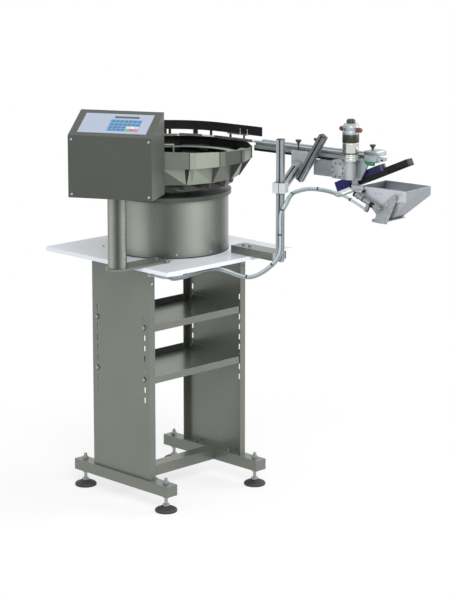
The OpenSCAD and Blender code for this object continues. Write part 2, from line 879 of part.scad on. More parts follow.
module box_prism(w, in) {
    rotate([90, 0, 90]) translate([0, 0, -w / 2]) linear_extrude(w) polygon(box_outline(in));
}

module control_box() {
    color(steel_green) placed() in_box() difference() {
        box_prism(box_w, 0);
        difference() {
            translate([0, -1, 0]) box_prism(box_w - 2 * box_t, box_t);
            at_box_screws() translate([0, -box_d / 2, 0]) rotate([-90, 0, 0])
                cylinder(r = 7, h = 14);
        }
        translate([0, 0, -1]) cylinder(r = post_d / 2 - 8, h = box_t + 2);
        at_box_screws() translate([0, -box_d / 2 - 1, 0]) rotate([-90, 0, 0])
            cylinder(r = screw_r + hole_gap, h = 12);
    }
}

module box_cover() {
    color(steel_green) placed() in_box() difference() {
        translate([-box_w / 2, -box_d / 2, 0]) cube([box_w, cover_t, box_front_h]);
        at_box_screws() translate([0, -box_d / 2 - 1, 0]) rotate([-90, 0, 0])
            cylinder(r = screw_r + hole_gap, h = cover_t + 2);
    }
}

slope = atan((box_back_h - box_front_h) / box_d);

module keypad() {
    w = 246;
    d = 118;
    t = 0.8;
    l = box_d / cos(slope);
    color([0.82, 0.87, 0.93]) placed() in_box()
        translate([0, -box_d / 2, box_front_h]) rotate([slope, 0, 0])
            translate([-w / 2, (l - d) / 2, gap / 6]) cube([w, d, t]);
}

// ---------- support of the straight track ----------

module support_beam() {
    color(steel_green) placed() difference() {
        translate([beam2_x0, beam2_y1, top_z]) cube([beam2_w, beam2_y0 - beam2_y1, beam2_h]);
        for (y = beam_bolt_y) translate([beam2_x0 + beam2_w / 2, y, top_z - 1])
            cylinder(r = bolt_r + hole_gap, h = beam2_h + 2);
    }
}

post2_y = beam2_y1 - post2_off;

// Wedge that turns the post's face square to the cross arm
module post_foot() {
    h = profile_w / 2;
    color(aluminium) placed() difference() {
        translate([beam2_x0, post2_y - 14, top_z]) cube([beam2_w, post2_off + 14, beam2_h]);
        translate([post2_x, post2_y, top_z - 1]) rotate([0, 0, post2_yaw])
            translate([-100, -h - 60, 0]) cube([200, profile_w + 60 + gap, 50]);
    }
}

// Slotted aluminium profile along +Z
module t_slot(l) {
    w = profile_w;
    s = w * 0.24;
    difference() {
        translate([-w / 2, -w / 2, 0]) cube([w, w, l]);
        for (a = [0 : 90 : 270]) rotate([0, 0, a]) {
            translate([w / 2 - 5, -s / 2, -1]) cube([6, s, l + 2]);
            translate([w / 2 - 6.5, -s, -1]) cube([4, 2 * s, l + 2]);
        }
        translate([0, 0, -1]) cylinder(r = 2.5, h = l + 2, $fn = 24);
    }
}

module at_post2() {
    translate([post2_x, post2_y, 0]) rotate([0, 0, post2_yaw]) children();
}

module support_post() {
    color(aluminium) placed() at_post2() translate([0, 0, top_z]) t_slot(support_post_h);
}

clamp_z = 1165;
clamp_h = 36;

module post_clamp() {
    h = profile_w / 2 + gap;
    color(aluminium) placed() at_post2() translate([0, 0, clamp_z]) difference() {
        union() {
            translate([-h - 10, -h - 10, -clamp_h / 2]) cube([2 * h + 20, 2 * h + 20, clamp_h]);
            translate([h + 8, -13, 0]) rotate([-90, 0, 0]) cylinder(r = clamp_h / 2, h = 26);
        }
        translate([-h, -h, -clamp_h]) cube([2 * h, 2 * h, 2 * clamp_h]);
        translate([-h - 11, -1, -clamp_h]) cube([12, 2, 2 * clamp_h]);
    }
}

arm_rise = 13;
arm_l = 155;
arm_start = profile_w / 2 + gap + 8 + clamp_h / 2 / cos(arm_rise) + gap;

module on_arm() {
    at_post2() translate([arm_start, 0, clamp_z]) rotate([0, -arm_rise, 0]) children();
}

module cross_arm() {
    color(aluminium) placed() on_arm() rotate([0, 90, 0]) t_slot(arm_l);
}

bracket_t = 8;
strip_depth = 9;
bracket_face = rail_w / 2 + gap + bracket_t;

module swivel_block() {
    color(aluminium) placed() {
        on_arm() translate([arm_l + gap, -14, -14]) cube([18, 28, 28]);
        on_rail() translate([196, -bracket_face - gap - 19, 1180]) cube([28, 19, 42]);
    }
}

strut_s = 235;
strut_t = -64;
strut_z = 1164;
strut_lean = 32;
strut_l = 194;

module strut_profile() {
    color(aluminium) placed() on_rail() translate([strut_s, strut_t, strut_z])
        rotate([0, strut_lean, 0]) t_slot(strut_l);
}

strip_z = rail_z - rail_h - strip_depth;

module rail_bracket() {
    face = -bracket_face;
    seat = strut_t + profile_w / 2 + gap;
    color(aluminium) placed() on_rail() {
        translate([177, face, 1190]) cube([75, bracket_t, 72]);
        translate([177, face, strip_z - gap - bracket_t]) cube([60, bracket_face + 10, bracket_t]);
        translate([strut_s + 6, seat, 1192]) cube([18, -seat - bracket_face + 1, 24]);
    }
}

module rail_track() {
    w = rail_w / 2;
    z0 = rail_z - rail_h;
    color(aluminium) placed() on_rail() rotate([90, 0, 90]) linear_extrude(rail_l) difference() {
        translate([-w, z0]) square([rail_w, rail_h]);
        translate([-15, rail_z - 4]) square([30, 5]);
        for (s = [-1, 1]) translate([s * w, z0 + 16]) {
            translate([-5, -4]) square([10, 8]);
            translate([-s * 6 - 3.5, -7]) square([7, 14]);
        }
        translate([-8, z0 - 1]) square([16, 10]);
    }
}

module rail_strip() {
    color(black) placed() on_rail()
        translate([0, -rail_w / 2, strip_z]) cube([500, rail_w - 16, strip_depth]);
}

// Turning knob on a stem that stands on a seat at z = 0
module knob(stem) {
    r = 11;
    rotate_extrude() polygon([
        [0, 0], [3, 0], [3, stem], [5, stem], [5, stem + 3], [r - 1, stem + 9], [r, stem + 11],
        [r, stem + 14], [r - 2, stem + 15.5], [0, stem + 15.5]
    ]);
}

module knob_inlet() color(black) placed() on_rail()
    translate([206, -bracket_face + bracket_t / 2, 1262 + gap]) knob(24);
module knob_middle() color(black) placed() on_rail()
    translate([244, 22, rail_z + gap]) knob(13);
module knob_outlet() color(black) placed() on_rail()
    translate([512, -8, block_top + gap]) knob(3);

// ---------- belt unit ----------

gear_z = 1221;
gear_h = 64;
gear_face = -45;
motor_s = 460;
motor_t = -68;
output_s = 424;

module motor() {
    r = motor_r;
    color(bright) placed() on_rail() translate([motor_s, motor_t, gear_z + gear_h / 2])
        rotate_extrude() polygon([
            [0, 0], [r - 3, 0], [r - 1, 3], [r - 1, 12], [r, 14], [r, 26], [r - 1.5, 27],
            [r - 1.5, 29], [r, 30], [r, 98], [0, 98]
        ]);
}

module motor_head() {
    z = gear_z + gear_h / 2 + 98;
    r = motor_r;
    color(aluminium) placed() on_rail() translate([motor_s, motor_t, z]) {
        rotate_extrude() polygon([
            [0, 0], [r, 0], [r, 30], [r - 7, 37], [12, 37], [12, 49], [9, 53], [0, 53]
        ]);
        for (s = [-1, 1]) translate([0, 0, 15]) rotate([0, s * 90, 0]) cylinder(r = 9, h = 45);
    }
}

bore_r = 16;

module gearbox() {
    h = gear_h / 2;
    back = gear_face - gap;
    color([0.72, 0.74, 0.73]) placed() on_rail() {
        translate([output_s - 30, back - 42, gear_z - h]) cube([58, 42, gear_h]);
        translate([motor_s - 4, motor_t, gear_z - h]) cylinder(r = 22, h = gear_h);
        translate([output_s, back - 41, gear_z]) rotate([90, 0, 0]) cylinder(r = 29, h = 8);
        translate([output_s, back - 1, gear_z]) rotate([-90, 0, 0])
            cylinder(r = bore_r, h = -gear_face - rail_w / 2 + 1);
        bevel_case();
    }
}

// Small case behind the plate that turns the shaft down to the belt's drive roller
module bevel_case() {
    difference() {
        translate([output_s - 12, -rail_w / 2 + gap, gear_z - 13]) cube([40, 42, 31]);
        translate([nose_s, belt_t, nose_z]) rotate([0, -belt_rise, 0])
            translate([drive_x, 0, -60]) cylinder(r = shaft_r + 0.05, h = 60 + case_depth);
    }
}

plate_t0 = gear_face;
plate_l0 = 282;

// Long plate that carries the belt unit, with a foot for the nose plate and a seat on the track
module head_plate() {
    t = 8;
    color(aluminium) placed() on_rail() difference() {
        union() {
            translate([0, plate_t0 + t, 0]) rotate([90, 0, 0]) linear_extrude(t) polygon([
                [plate_l0, 1184], [450, 1184], [450, 1146], [474, 1146], [474, 1184], [486, 1184],
                [515, 1237], [492, 1263], [482, 1264], [482, 1250], [440, 1250], [440, 1240],
                [plate_l0, 1239]
            ]);
            translate([plate_l0 + 20, plate_t0 + t - 1, strip_z - gap - t])
                cube([110, -plate_t0 - t - 4, t]);
            translate([482, plate_t0 + t - 1, 1252])
                cube([17.5, -plate_t0 - t + 1 - rail_w / 2 - gap, 9]);
            translate([450, plate_t0 + t - 1, 1146]) cube([24, -plate_t0 - t + 1 - rail_w / 2, 20]);
        }
        translate([output_s, plate_t0 - 1, gear_z]) rotate([-90, 0, 0])
            cylinder(r = bore_r + hole_gap, h = 20);
    }
}

block_top = 1292;

module head_block() {
    s0 = 500;
    l = 54;
    w = rail_w / 2;
    color(aluminium) placed() on_rail() {
        translate([s0, -w - 14, rail_z + gap]) cube([l, 2 * w, block_top - rail_z - gap]);
        translate([s0, -w - 14, 1255]) cube([l, 14 - gap, block_top - 1255]);
    }
    color([0.05, 0.50, 0.32]) placed() on_rail()
        translate([s0 + 14, -w - 14, 1240]) cube([l - 16, 12, 15 - gap]);
    color(white) placed() on_rail()
        translate([rail_l + gap, -w + 6, rail_z - 3]) cube([42, rail_w - 12, 3]);
}

shaft_r = 5;
drive_x = 83;
case_depth = 50;

module in_belt() {
    on_rail() translate([nose_s, belt_t, nose_z]) rotate([0, -belt_rise, 0]) children();
}

// Black bar under the belt, and the pale plate that carries the nose roller
module belt_frame() {
    low = -belt_w / 2 - 3;
    joint = 66;
    color(black) placed() in_belt() difference() {
        union() {
            translate([joint + gap, -belt_r, low - bar_low + 3]) cube([bar_l - joint - gap, 2 * belt_r, bar_low]);
            translate([belt_l + 26, -belt_r, low - bar_low + 3]) cube([bar_l - belt_l - 26, 2 * belt_r, 25]);
        }
        for (x = [drive_x, belt_l]) translate([x, 0, low - 20]) cylinder(r = shaft_r + 0.05, h = 40);
    }
    color(white) placed() in_belt() difference() {
        union() {
            translate([0, 0, low - bar_low + 3]) cylinder(r = belt_r + 2, h = bar_low);
            translate([0, -belt_r - 2.5, low - bar_low + 3]) cube([joint, 2 * belt_r + 2.5, bar_low]);
        }
        translate([0, 0, low - 20]) cylinder(r = shaft_r + 0.05, h = 40);
    }
}

belt_thick = 2.5;

module belt_loop(r) {
    circle(r = r);
    translate([belt_l, 0]) circle(r = r);
    translate([0, -r]) square([belt_l, 2 * r]);
}

module belt() {
    color([0.16, 0.18, 0.55]) placed() in_belt() translate([0, 0, -belt_w / 2])
        linear_extrude(belt_w) difference() {
            belt_loop(belt_r);
            belt_loop(belt_r - belt_thick);
        }
}

module roller(x, top) {
    low = -belt_w / 2 - bar_low;
    color(bright) placed() in_belt() translate([x, 0, 0]) {
        translate([0, 0, -belt_w / 2 + 1]) cylinder(r = belt_r - belt_thick - gap, h = belt_w - 2);
        translate([0, 0, low]) cylinder(r = shaft_r, h = top - low);
    }
}

module nose_roller() roller(0, belt_w / 2 + 2);
module tail_roller() roller(belt_l, belt_w / 2 + 2);
module drive_roller() roller(drive_x, case_depth - 2);

// ---------- hopper ----------

function frame_of(s, t, l, w, in, z) = [
    [s + in, t + in, z], [s + l - in, t + in, z], [s + l - in, t + w - in, z], [s + in, t + w - in, z]
];

module hopper_form(in, over) {
    skin([
        frame_of(outlet_s, outlet_t, outlet_l, outlet_w, in, hopper_z - over),
        frame_of(hopper_s, hopper_t0, hopper_l, hopper_w, in, hopper_z + hopper_h - hopper_rim),
        frame_of(hopper_s, hopper_t0, hopper_l, hopper_w, in, hopper_z + hopper_h + over)
    ]);
}

pivot_s = hopper_s + 150;
pivot_z = hopper_z + 86;
pin_r = 4;
hanger_s = 452;

module hopper() {
    top = hopper_z + hopper_h;
    low = top - hopper_rim;
    color(aluminium) placed() on_rail() {
        difference() {
            union() {
                hopper_form(0, 0);
                translate([hopper_s + hopper_l - 8, hopper_t0, top - 9]) cube([8, hopper_w, 9]);
            }
            hopper_form(sheet_t, 1);
        }
        translate([hopper_s, hopper_t0, top]) near_plate();
        translate([pivot_s, hopper_t0 + 1, pivot_z]) rotate([90, 0, 0])
            cylinder(r = pin_r, h = 14);
        translate([hopper_s + 14, hopper_t0 + 1, low + 3]) rotate([90, 0, 0]) cylinder(r = 6, h = 8);
    }
    color(aluminium) placed() on_rail() translate([hanger_s, gear_face - gap - 5, top - 18]) {
        cube([hopper_s - hanger_s + 14, 5, 18]);
        translate([hopper_s - hanger_s + 1, 4, 0]) cube([12, hopper_t0 - gear_face + 1, 18]);
    }
}

// Bent plate on the hopper's near side, which carries the flap's pin
module near_plate() {
    l = hopper_l;
    r = hopper_rim;
    rotate([90, 0, 0]) linear_extrude(near_t) difference() {
        polygon([
            [0, 0], [l, 0], [l, -r - 8], [l - 32, -r - 8], [l - 75, -r - 32], [0, -r]
        ]);
        for (x = [63, 84]) translate([x, -20]) circle(r = 3);
        translate([l - 22, -13]) circle(r = 5.5);
    }
}
near_t = 2;

arm_t0 = hopper_t0 - 7;

module hopper_flap() {
    z = hopper_z - 1.5;
    color(aluminium) placed() on_rail() {
        translate([0, arm_t0 + 3, 0]) rotate([90, 0, 0]) linear_extrude(3) difference() {
            union() {
                translate([pivot_s, pivot_z]) circle(r = 10);
                polygon([
                    [pivot_s - 8, pivot_z + 6], [pivot_s + 6, pivot_z - 8], [outlet_s + outlet_l, z - 12],
                    [outlet_s + 8, z - 12], [outlet_s + 8, z + 6], [outlet_s + 20, z + 44]
                ]);
            }
            translate([pivot_s, pivot_z]) circle(r = pin_r + 0.05);
        }
        translate([cyl_s + (cyl_l + 28) * cos(cyl_dip), arm_t0 + 1, cyl_z - (cyl_l + 28) * sin(cyl_dip)])
            rotate([90, 0, 0]) cylinder(r = pin_r, h = arm_t0 + 1 - cyl_t - 4);
        translate([outlet_s - 6, arm_t0 + 1, z - 3]) cube([outlet_l + 12, outlet_t + outlet_w - arm_t0 + 5, 3]);
        translate([outlet_s - 6, arm_t0 + 1, z - 12]) cube([3, outlet_t + outlet_w - arm_t0 + 5, 12]);
    }
}

cyl_s = hopper_s - 14;
cyl_z = hopper_z + 83;
cyl_t = -64;
cyl_dip = 23;
cyl_l = 84;

module on_cylinder() {
    on_rail() translate([cyl_s, cyl_t, cyl_z]) rotate([0, 90 + cyl_dip, 0]) children();
}

module flap_cylinder() {
    color(bright) placed() difference() {
        union() {
            on_cylinder() cylinder(r = 9, h = cyl_l);
            on_cylinder() translate([-15, -4, 8]) cube([10, 8, 10]);
            on_cylinder() translate([2, -12, cyl_l - 18]) cube([28, 12, 12]);
            on_rail() translate([hopper_s + 4, cyl_t, cyl_z - 19])
                cube([20, hopper_t0 - near_t - cyl_t - gap, 24]);
        }
        on_cylinder() translate([0, 0, cyl_l - 64]) cylinder(r = 4.05, h = 65);
        on_rail() translate([hopper_s + 14, hopper_t0 - 8 - gap, low_pin_z]) rotate([-90, 0, 0])
            cylinder(r = 6 + gap, h = 20);
    }
}
low_pin_z = hopper_z + hopper_h - hopper_rim + 3;

module cylinder_rod() {
    color(bright) placed() on_cylinder() {
        translate([0, 0, cyl_l - 62]) cylinder(r = 4, h = 84);
        translate([0, 3, cyl_l + 28]) rotate([90, 0, 0]) cylinder(r = 8, h = 6);
    }
}

// ---------- hose ----------

hose_r = 5;
hose_sides = 8;

// Route of the air hoses and the motor's cable, bound together, round the bowl's axis
hose_points = [
    [302.57, -681.09, 1090.66], [301.56, -671.94, 1094.57], [300, -658, 1100.5],
    [298, -640, 1108.2], [296, -617, 1117], [295.5, -597, 1123.5], [295, -572, 1129],
    [294, -543, 1134], [292, -510, 1137.5], [286, -483, 1139.5], [271.5, -460.5, 1141],
    [246, -450.5, 1142], [195, -452, 1140], [155, -464, 1136], [126, -476, 1126],
    [105, -483, 1109], [93, -479, 1089], [89, -474, 1065], [89, -474, 1000], [89, -474, 955],
    [82.5, -471, 924], [66, -456.5, 895], [46, -430, 868], [30, -405, 852], [17, -381, 847],
    [2, -352, 852], [-16, -320, 864], [-42, -298, 874], [-75, -291, 878], [-110, -290, 878],
    [-150, -290, 874], [-190, -290, 868.5], [-220, -288, 866.3], [-245, -279.5, 866],
    [-260, -262, 866], [-265, -240, 866], [-265, -222, 866], elbow_at
];

function spline(p, i, t) =
    let (a = p[max(i - 1, 0)], b = p[i], c = p[i + 1], d = p[min(i + 2, len(p) - 1)])
    0.5 * (2 * b + (c - a) * t + (2 * a - 5 * b + 4 * c - d) * t * t
        + (3 * b - a - 3 * c + d) * t * t * t);

function unit(v) = v / norm(v);

module swept(p, r, sides, steps) {
    n = (len(p) - 1) * steps;
    c = [for (k = [0 : n]) let (i = min(floor(k / steps), len(p) - 2)) spline(p, i, k / steps - i)];
    dir = [for (k = [0 : n]) unit(c[min(k + 1, n)] - c[max(k - 1, 0)])];
    up = [for (k = 0, x = unit(cross(dir[0], [0, 0, 1])); k <= n;
        k = k + 1, x = k > n ? x : unit(x - (x * dir[k]) * dir[k])) x];
    skin([for (k = [0 : n]) let (x = up[k], y = cross(x, dir[k]))
        [for (j = [0 : sides - 1]) c[k] + r * (cos(j * 360 / sides) * x + sin(j * 360 / sides) * y)]]);
}

module hose_bundle() {
    color([0.62, 0.68, 0.70]) placed() swept(hose_points, hose_r, hose_sides, 2);
}

foot_beams();
cross_beam();
levelling_discs();
levelling_studs();
side_panel_left();
side_panel_right();
shelves();
frame_bolts();
sub_plate();
table_top();
cover_screws();
drum_seal();
drum_ring();
drum_cover();
rubber_mounts();
drive_base();
leaf_springs();
electromagnet();
armature();
top_plate();
bowl_hub();
centre_clamp();
bowl_shell();
spiral_track();
track_strips();
guard_wall();
exit_chute();
arm_plate();
control_post();
control_box();
box_cover();
keypad();
support_beam();
post_foot();
support_post();
post_clamp();
cross_arm();
swivel_block();
strut_profile();
rail_bracket();
rail_track();
rail_strip();
knob_inlet();
knob_middle();
knob_outlet();
motor();
motor_head();
gearbox();
head_plate();
head_block();
belt_frame();
belt();
nose_roller();
tail_roller();
drive_roller();
hopper();
hopper_flap();
flap_cylinder();
cylinder_rod();
hose_bundle();
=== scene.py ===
import math

import bmesh
import bpy
from bpy.props import FloatProperty, FloatVectorProperty, PointerProperty
from mathutils import Matrix, Vector


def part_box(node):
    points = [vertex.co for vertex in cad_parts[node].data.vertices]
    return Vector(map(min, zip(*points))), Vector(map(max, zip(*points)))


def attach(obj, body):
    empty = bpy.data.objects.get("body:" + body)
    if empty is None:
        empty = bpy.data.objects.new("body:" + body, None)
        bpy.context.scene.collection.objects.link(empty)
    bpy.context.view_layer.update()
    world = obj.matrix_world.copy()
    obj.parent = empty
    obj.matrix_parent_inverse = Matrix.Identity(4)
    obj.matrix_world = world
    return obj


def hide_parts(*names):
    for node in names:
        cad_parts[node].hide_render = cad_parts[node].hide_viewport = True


bl_info = {
    "name": "Vibratory Bowl Feeder",
    "version": (1, 0, 0),
    "blender": (4, 5, 0),
    "location": "View3D > Sidebar > Bowl Feeder",
    "description": "Dresses a vibratory bowl feeder with its finishes, fittings and hoses",
    "category": "Object",
}

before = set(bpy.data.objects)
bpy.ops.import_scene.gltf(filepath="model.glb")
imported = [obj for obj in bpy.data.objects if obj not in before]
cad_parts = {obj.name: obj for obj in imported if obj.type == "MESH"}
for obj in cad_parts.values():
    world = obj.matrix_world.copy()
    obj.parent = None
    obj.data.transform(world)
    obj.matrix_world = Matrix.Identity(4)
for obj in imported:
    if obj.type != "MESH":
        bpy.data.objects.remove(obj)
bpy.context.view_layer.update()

# Frames of the machine's groups, in millimetres. The bowl's axis is the middle of the drum's ring.
ring_low, ring_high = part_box("drum_ring")
AXIS = (ring_low + ring_high) / 2
STAND = Matrix.Translation((AXIS.x, AXIS.y, 0)) @ Matrix.Scale(0.001, 4)
RAIL_TURN, RAIL_START, RAIL_OFFSET = -83.7, 183, 296
BOX_X, BOX_Y, BOX_YAW = -397, -162, -60
BELT_NOSE, BELT_PITCH = (376, -10, 1149), -23.5
POST_FOOT, POST_YAW = (104, -460, 0), 28
STRUT_END, STRUT_LENGTH, STRUT_PITCH = (235, -64, 1164), 194, 32
CYLINDER_END, CYLINDER_PITCH = (476, -64, 1139), 113
MOTOR_FOOT = (460, -68, 0)
GEAR_DISC = (424, -94.3, 1221)


def turned_frame(parent, place, degrees, axis):
    """A group's frame: its place in its parent, and its turn there"""
    return parent @ Matrix.Translation(place) @ Matrix.Rotation(math.radians(degrees), 4, axis)


RAIL = (
    STAND
    @ Matrix.Rotation(math.radians(RAIL_TURN), 4, "Z")
    @ Matrix.Translation((RAIL_START, RAIL_OFFSET, 0))
)
BOX_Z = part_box("control_box")[0].z * 1000
BOX = turned_frame(STAND, (BOX_X, BOX_Y, BOX_Z), BOX_YAW, "Z")
BELT = turned_frame(RAIL, BELT_NOSE, BELT_PITCH, "Y")
POST = turned_frame(STAND, POST_FOOT, POST_YAW, "Z")
STRUT = turned_frame(RAIL, STRUT_END, STRUT_PITCH, "Y")
CYLINDER = turned_frame(RAIL, CYLINDER_END, CYLINDER_PITCH, "Y")


# ---------- settings ----------

def length(name, description, default, low, high):
    return FloatProperty(
        name=name, description=description, default=default, min=low, max=high, unit="LENGTH"
    )


def shade(name, description, default):
    return FloatVectorProperty(
        name=name, description=description, default=default, min=0, max=1, subtype="COLOR"
    )


class FeederFinishes(bpy.types.PropertyGroup):
    """Colours of the feeder's finishes"""

    stand_paint: shade("Stand Paint", "Paint of the stand", (0.17, 0.185, 0.16))
    box_paint: shade("Box Paint", "Paint of the control box", (0.085, 0.093, 0.08))
    cover_paint: shade("Cover Paint", "Paint of the control box's cover", (0.062, 0.068, 0.058))
    drum_steel: shade("Drum Steel", "Brushed steel of the drum", (0.22, 0.232, 0.208))
    bowl_steel: shade("Bowl Steel", "Brushed steel of the bowl", (0.235, 0.258, 0.215))
    post_steel: shade("Post Steel", "Tube under the control box", (0.19, 0.202, 0.18))
    bright_steel: shade("Bright Steel", "Bolts, screws and plates", (0.6, 0.62, 0.63))
    motor_steel: shade("Motor Steel", "Polished shell of the motor", (0.62, 0.65, 0.6))
    aluminium: shade("Aluminium", "Anodised profiles and plates", (0.4, 0.44, 0.47))
    table_paint: shade("Table Paint", "Coating of the table top", (0.74, 0.77, 0.83))
    black_paint: shade(
        "Black Coating", "Coating inside the bowl and on the bars", (0.012, 0.012, 0.014)
    )
    rubber: shade("Rubber", "Feet and seals", (0.03, 0.031, 0.03))
    knob_plastic: shade("Knob Plastic", "Turning knobs", (0.02, 0.02, 0.021))
    belt_blue: shade("Belt Blue", "The belt", (0.022, 0.026, 0.16))
    hose_plastic: shade("Hose Plastic", "Air hoses", (0.36, 0.42, 0.44))
    keypad_film: shade("Keypad Film", "Film on the control box", (0.36, 0.41, 0.52))
    key_blue: shade("Key Blue", "Block of keys", (0.05, 0.17, 0.34))
    block_green: shade("Block Green", "Plastic block at the track's end", (0.004, 0.16, 0.075))


class FeederSizes(bpy.types.PropertyGroup):
    """Sizes of the fittings that are added to the feeder"""

    hose: length("Hose", "Diameter of the main air hose", 0.010, 0.006, 0.012)
    branch: length("Branch Hose", "Diameter of the second hose", 0.006, 0.004, 0.008)
    tie: length("Tie Width", "Width of the ties round the hoses", 0.005, 0.003, 0.008)
    cap: length("Cap Thickness", "Thickness of the profiles' end caps", 0.003, 0.002, 0.004)
    edge: length("Edge Radius", "Radius that softens sharp edges", 0.0012, 0.0004, 0.003)


class FeederStage(bpy.types.PropertyGroup):
    """Floor, lamps and camera"""

    floor: shade("Floor", "Colour of the floor", (0.9, 0.9, 0.9))
    lens: FloatProperty(
        name="Lens", description="Focal length in millimetres", default=132.75, min=40, max=300
    )
    key_power: FloatProperty(
        name="Key Lamp", description="Power of the large lamp", default=190, min=0, unit="POWER"
    )
    fill_power: FloatProperty(
        name="Fill Lamp", description="Power of the fill lamp", default=90, min=0, unit="POWER"
    )


# ---------- finishes ----------

def finishes():
    return bpy.context.scene.feeder_finishes


def sizes():
    return bpy.context.scene.feeder_sizes


def add_node(tree, kind, inputs=(), **settings):
    made = tree.nodes.new(kind)
    for key, value in settings.items():
        setattr(made, key, value)
    for key, value in dict(inputs).items():
        if isinstance(value, bpy.types.NodeSocket):
            tree.links.new(value, made.inputs[key])
        else:
            made.inputs[key].default_value = value
    return made


def remap(tree, value, low, high, start, end, **settings):
    """Carries a value from one range to another"""
    return add_node(
        tree, "ShaderNodeMapRange",
        {"Value": value, "From Min": low, "From Max": high, "To Min": start, "To Max": end},
        **settings,
    ).outputs["Result"]


def calculate(tree, operation, *values, **settings):
    """A number worked out from others"""
    return add_node(
        tree, "ShaderNodeMath", dict(enumerate(values)), operation=operation, **settings
    ).outputs["Value"]


def vector_math(tree, operation, *values):
    """A place or direction worked out from others, or their product or length"""
    made = add_node(tree, "ShaderNodeVectorMath", dict(enumerate(values)), operation=operation)
    return made.outputs["Value" if operation in ("DOT_PRODUCT", "LENGTH") else "Vector"]


def scaled(tree, colour, share):
    return add_node(
        tree, "ShaderNodeVectorMath", {0: colour, "Scale": share}, operation="SCALE"
    ).outputs["Vector"]


def overlaid(tree, share, base, colour):
    """A colour laid over another, by a share from 0 to 1"""
    return add_node(
        tree, "ShaderNodeMix", {"Factor": share, 6: base, 7: colour}, data_type="RGBA"
    ).outputs[2]


def object_place(tree):
    return add_node(tree, "ShaderNodeTexCoord").outputs["Object"]


def face_normal(tree):
    return add_node(tree, "ShaderNodeNewGeometry").outputs["True Normal"]


def split(tree, vector):
    return add_node(tree, "ShaderNodeSeparateXYZ", {"Vector": vector}).outputs


def noise(tree, vector, scale, detail, roughness):
    return add_node(
        tree, "ShaderNodeTexNoise",
        {"Vector": vector, "Scale": scale, "Detail": detail, "Roughness": roughness},
    ).outputs["Fac"]


def tinted(colour, share):
    return [min(1, c * share) for c in colour[:3]] + [1]


GRAIN_DEPTH = 0.0004
# Share of the colour kept in the painted shade of corners and recesses
RECESS_SHADE_TONE = 0.12
SLOW_SHARE = 0.45


def finish(
    name, colour, roughness, metallic=0.0, grain=(1, 1, 1), grain_scale=900, tone=0.12, patch=7,
    bump=0.08, wear=0.0, wear_colour=(0.6, 0.62, 0.6), coat=0.0, spread=0.08, anisotropic=0.0,
    soft_edge=True, specular=0.5, recess_shade=0.0, reach=0.01, bands=0, reflection_band_tones=(0.45, 1.6),
    reflection_band_turn=225, change=None,
):
    """A metal, paint, rubber or plastic with fine grain, slow patches of tone and worn edges

    bands paints broad upright bands of painted reflection onto brushed steel, recess_shade paints
    shade into corners within reach, and change takes the node tree and the colour and returns the
    colour that is used.
    """
    if name in bpy.data.materials and bpy.data.materials[name].get("feeder"):
        return bpy.data.materials[name]
    material = bpy.data.materials.new(name)
    material["feeder"] = True
    material.use_nodes = True
    tree = material.node_tree
    shader = tree.nodes["Principled BSDF"]
    shader.inputs["Metallic"].default_value = metallic
    shader.inputs["Coat Weight"].default_value = coat
    shader.inputs["Anisotropic"].default_value = anisotropic
    shader.inputs["Specular IOR Level"].default_value = specular
    place = object_place(tree)
    stretched = add_node(tree, "ShaderNodeMapping", {"Vector": place, "Scale": grain}).outputs[0]
    fine = noise(tree, stretched, grain_scale, 3.0, 0.6)
    slow = noise(tree, place, patch, 4.0, 0.55)
    both = add_node(
        tree, "ShaderNodeMix", {"Factor": SLOW_SHARE, "A": fine, "B": slow}, data_type="FLOAT"
    ).outputs["Result"]
    ramp = add_node(tree, "ShaderNodeValToRGB", {"Fac": both})
    dark, light = ramp.color_ramp.elements
    dark.position, light.position = 0.32, 0.68
    dark.color, light.color = tinted(colour, 1 - tone), tinted(colour, 1 + tone)
    base = ramp.outputs["Color"]
    rough = remap(tree, both, 0.3, 0.7, roughness - spread, roughness + spread)
    relief = add_node(
        tree, "ShaderNodeBump", {"Strength": bump, "Distance": GRAIN_DEPTH, "Height": fine}
    )
    if soft_edge:
        rounded = add_node(
            tree, "ShaderNodeBevel", {"Radius": sizes().edge}, samples=4
        ).outputs["Normal"]
        tree.links.new(rounded, relief.inputs["Normal"])
        if wear:
            flat = add_node(tree, "ShaderNodeNewGeometry").outputs["Normal"]
            turn = vector_math(tree, "DOT_PRODUCT", rounded, flat)
            worn = remap(tree, turn, 0.99, 0.86, 0.0, wear)
            spotty = calculate(tree, "MULTIPLY", worn, slow)
            base = overlaid(tree, spotty, base, tinted(wear_colour, 1))
    # Painted reflection: broad upright bands of darker and lighter steel
    if bands:
        base = painted_reflection_bands(tree, base, bands, reflection_band_tones, reflection_band_turn)
    # Painted shade: colour darkened in corners and recesses, by ambient occlusion within reach
    if recess_shade:
        open_air = add_node(
            tree, "ShaderNodeAmbientOcclusion", {"Distance": reach}, samples=6
        ).outputs["AO"]
        recess_shade_share = remap(tree, open_air, 0.3, 0.95, recess_shade, 0.0)
        base = overlaid(tree, recess_shade_share, base, tinted(colour, RECESS_SHADE_TONE))
    if change:
        base = change(tree, base)
    tree.links.new(base, shader.inputs["Base Color"])
    tree.links.new(rough, shader.inputs["Roughness"])
    tree.links.new(relief.outputs["Normal"], shader.inputs["Normal"])
    return material


def painted_reflection_bands(tree, base, bands, tones, turn):
    """Painted reflection: broad upright bands of darker and lighter steel, by the way a face looks"""
    parts = split(tree, face_normal(tree))
    heading = calculate(tree, "ARCTAN2", parts["Y"], parts["X"])
    wave = calculate(tree, "MULTIPLY_ADD", heading, float(bands), -math.radians(turn) * bands)
    wave = calculate(tree, "COSINE", wave)
    return scaled(tree, base, remap(tree, wave, -1.0, 1.0, tones[1], tones[0]))


def stand_paint():
    return finish(
        "stand_paint", finishes().stand_paint, 0.34, 0.55, grain_scale=1400, tone=0.1, patch=4,
        bump=0.1, wear=0.5, wear_colour=(0.42, 0.44, 0.4), coat=0.15,
    )


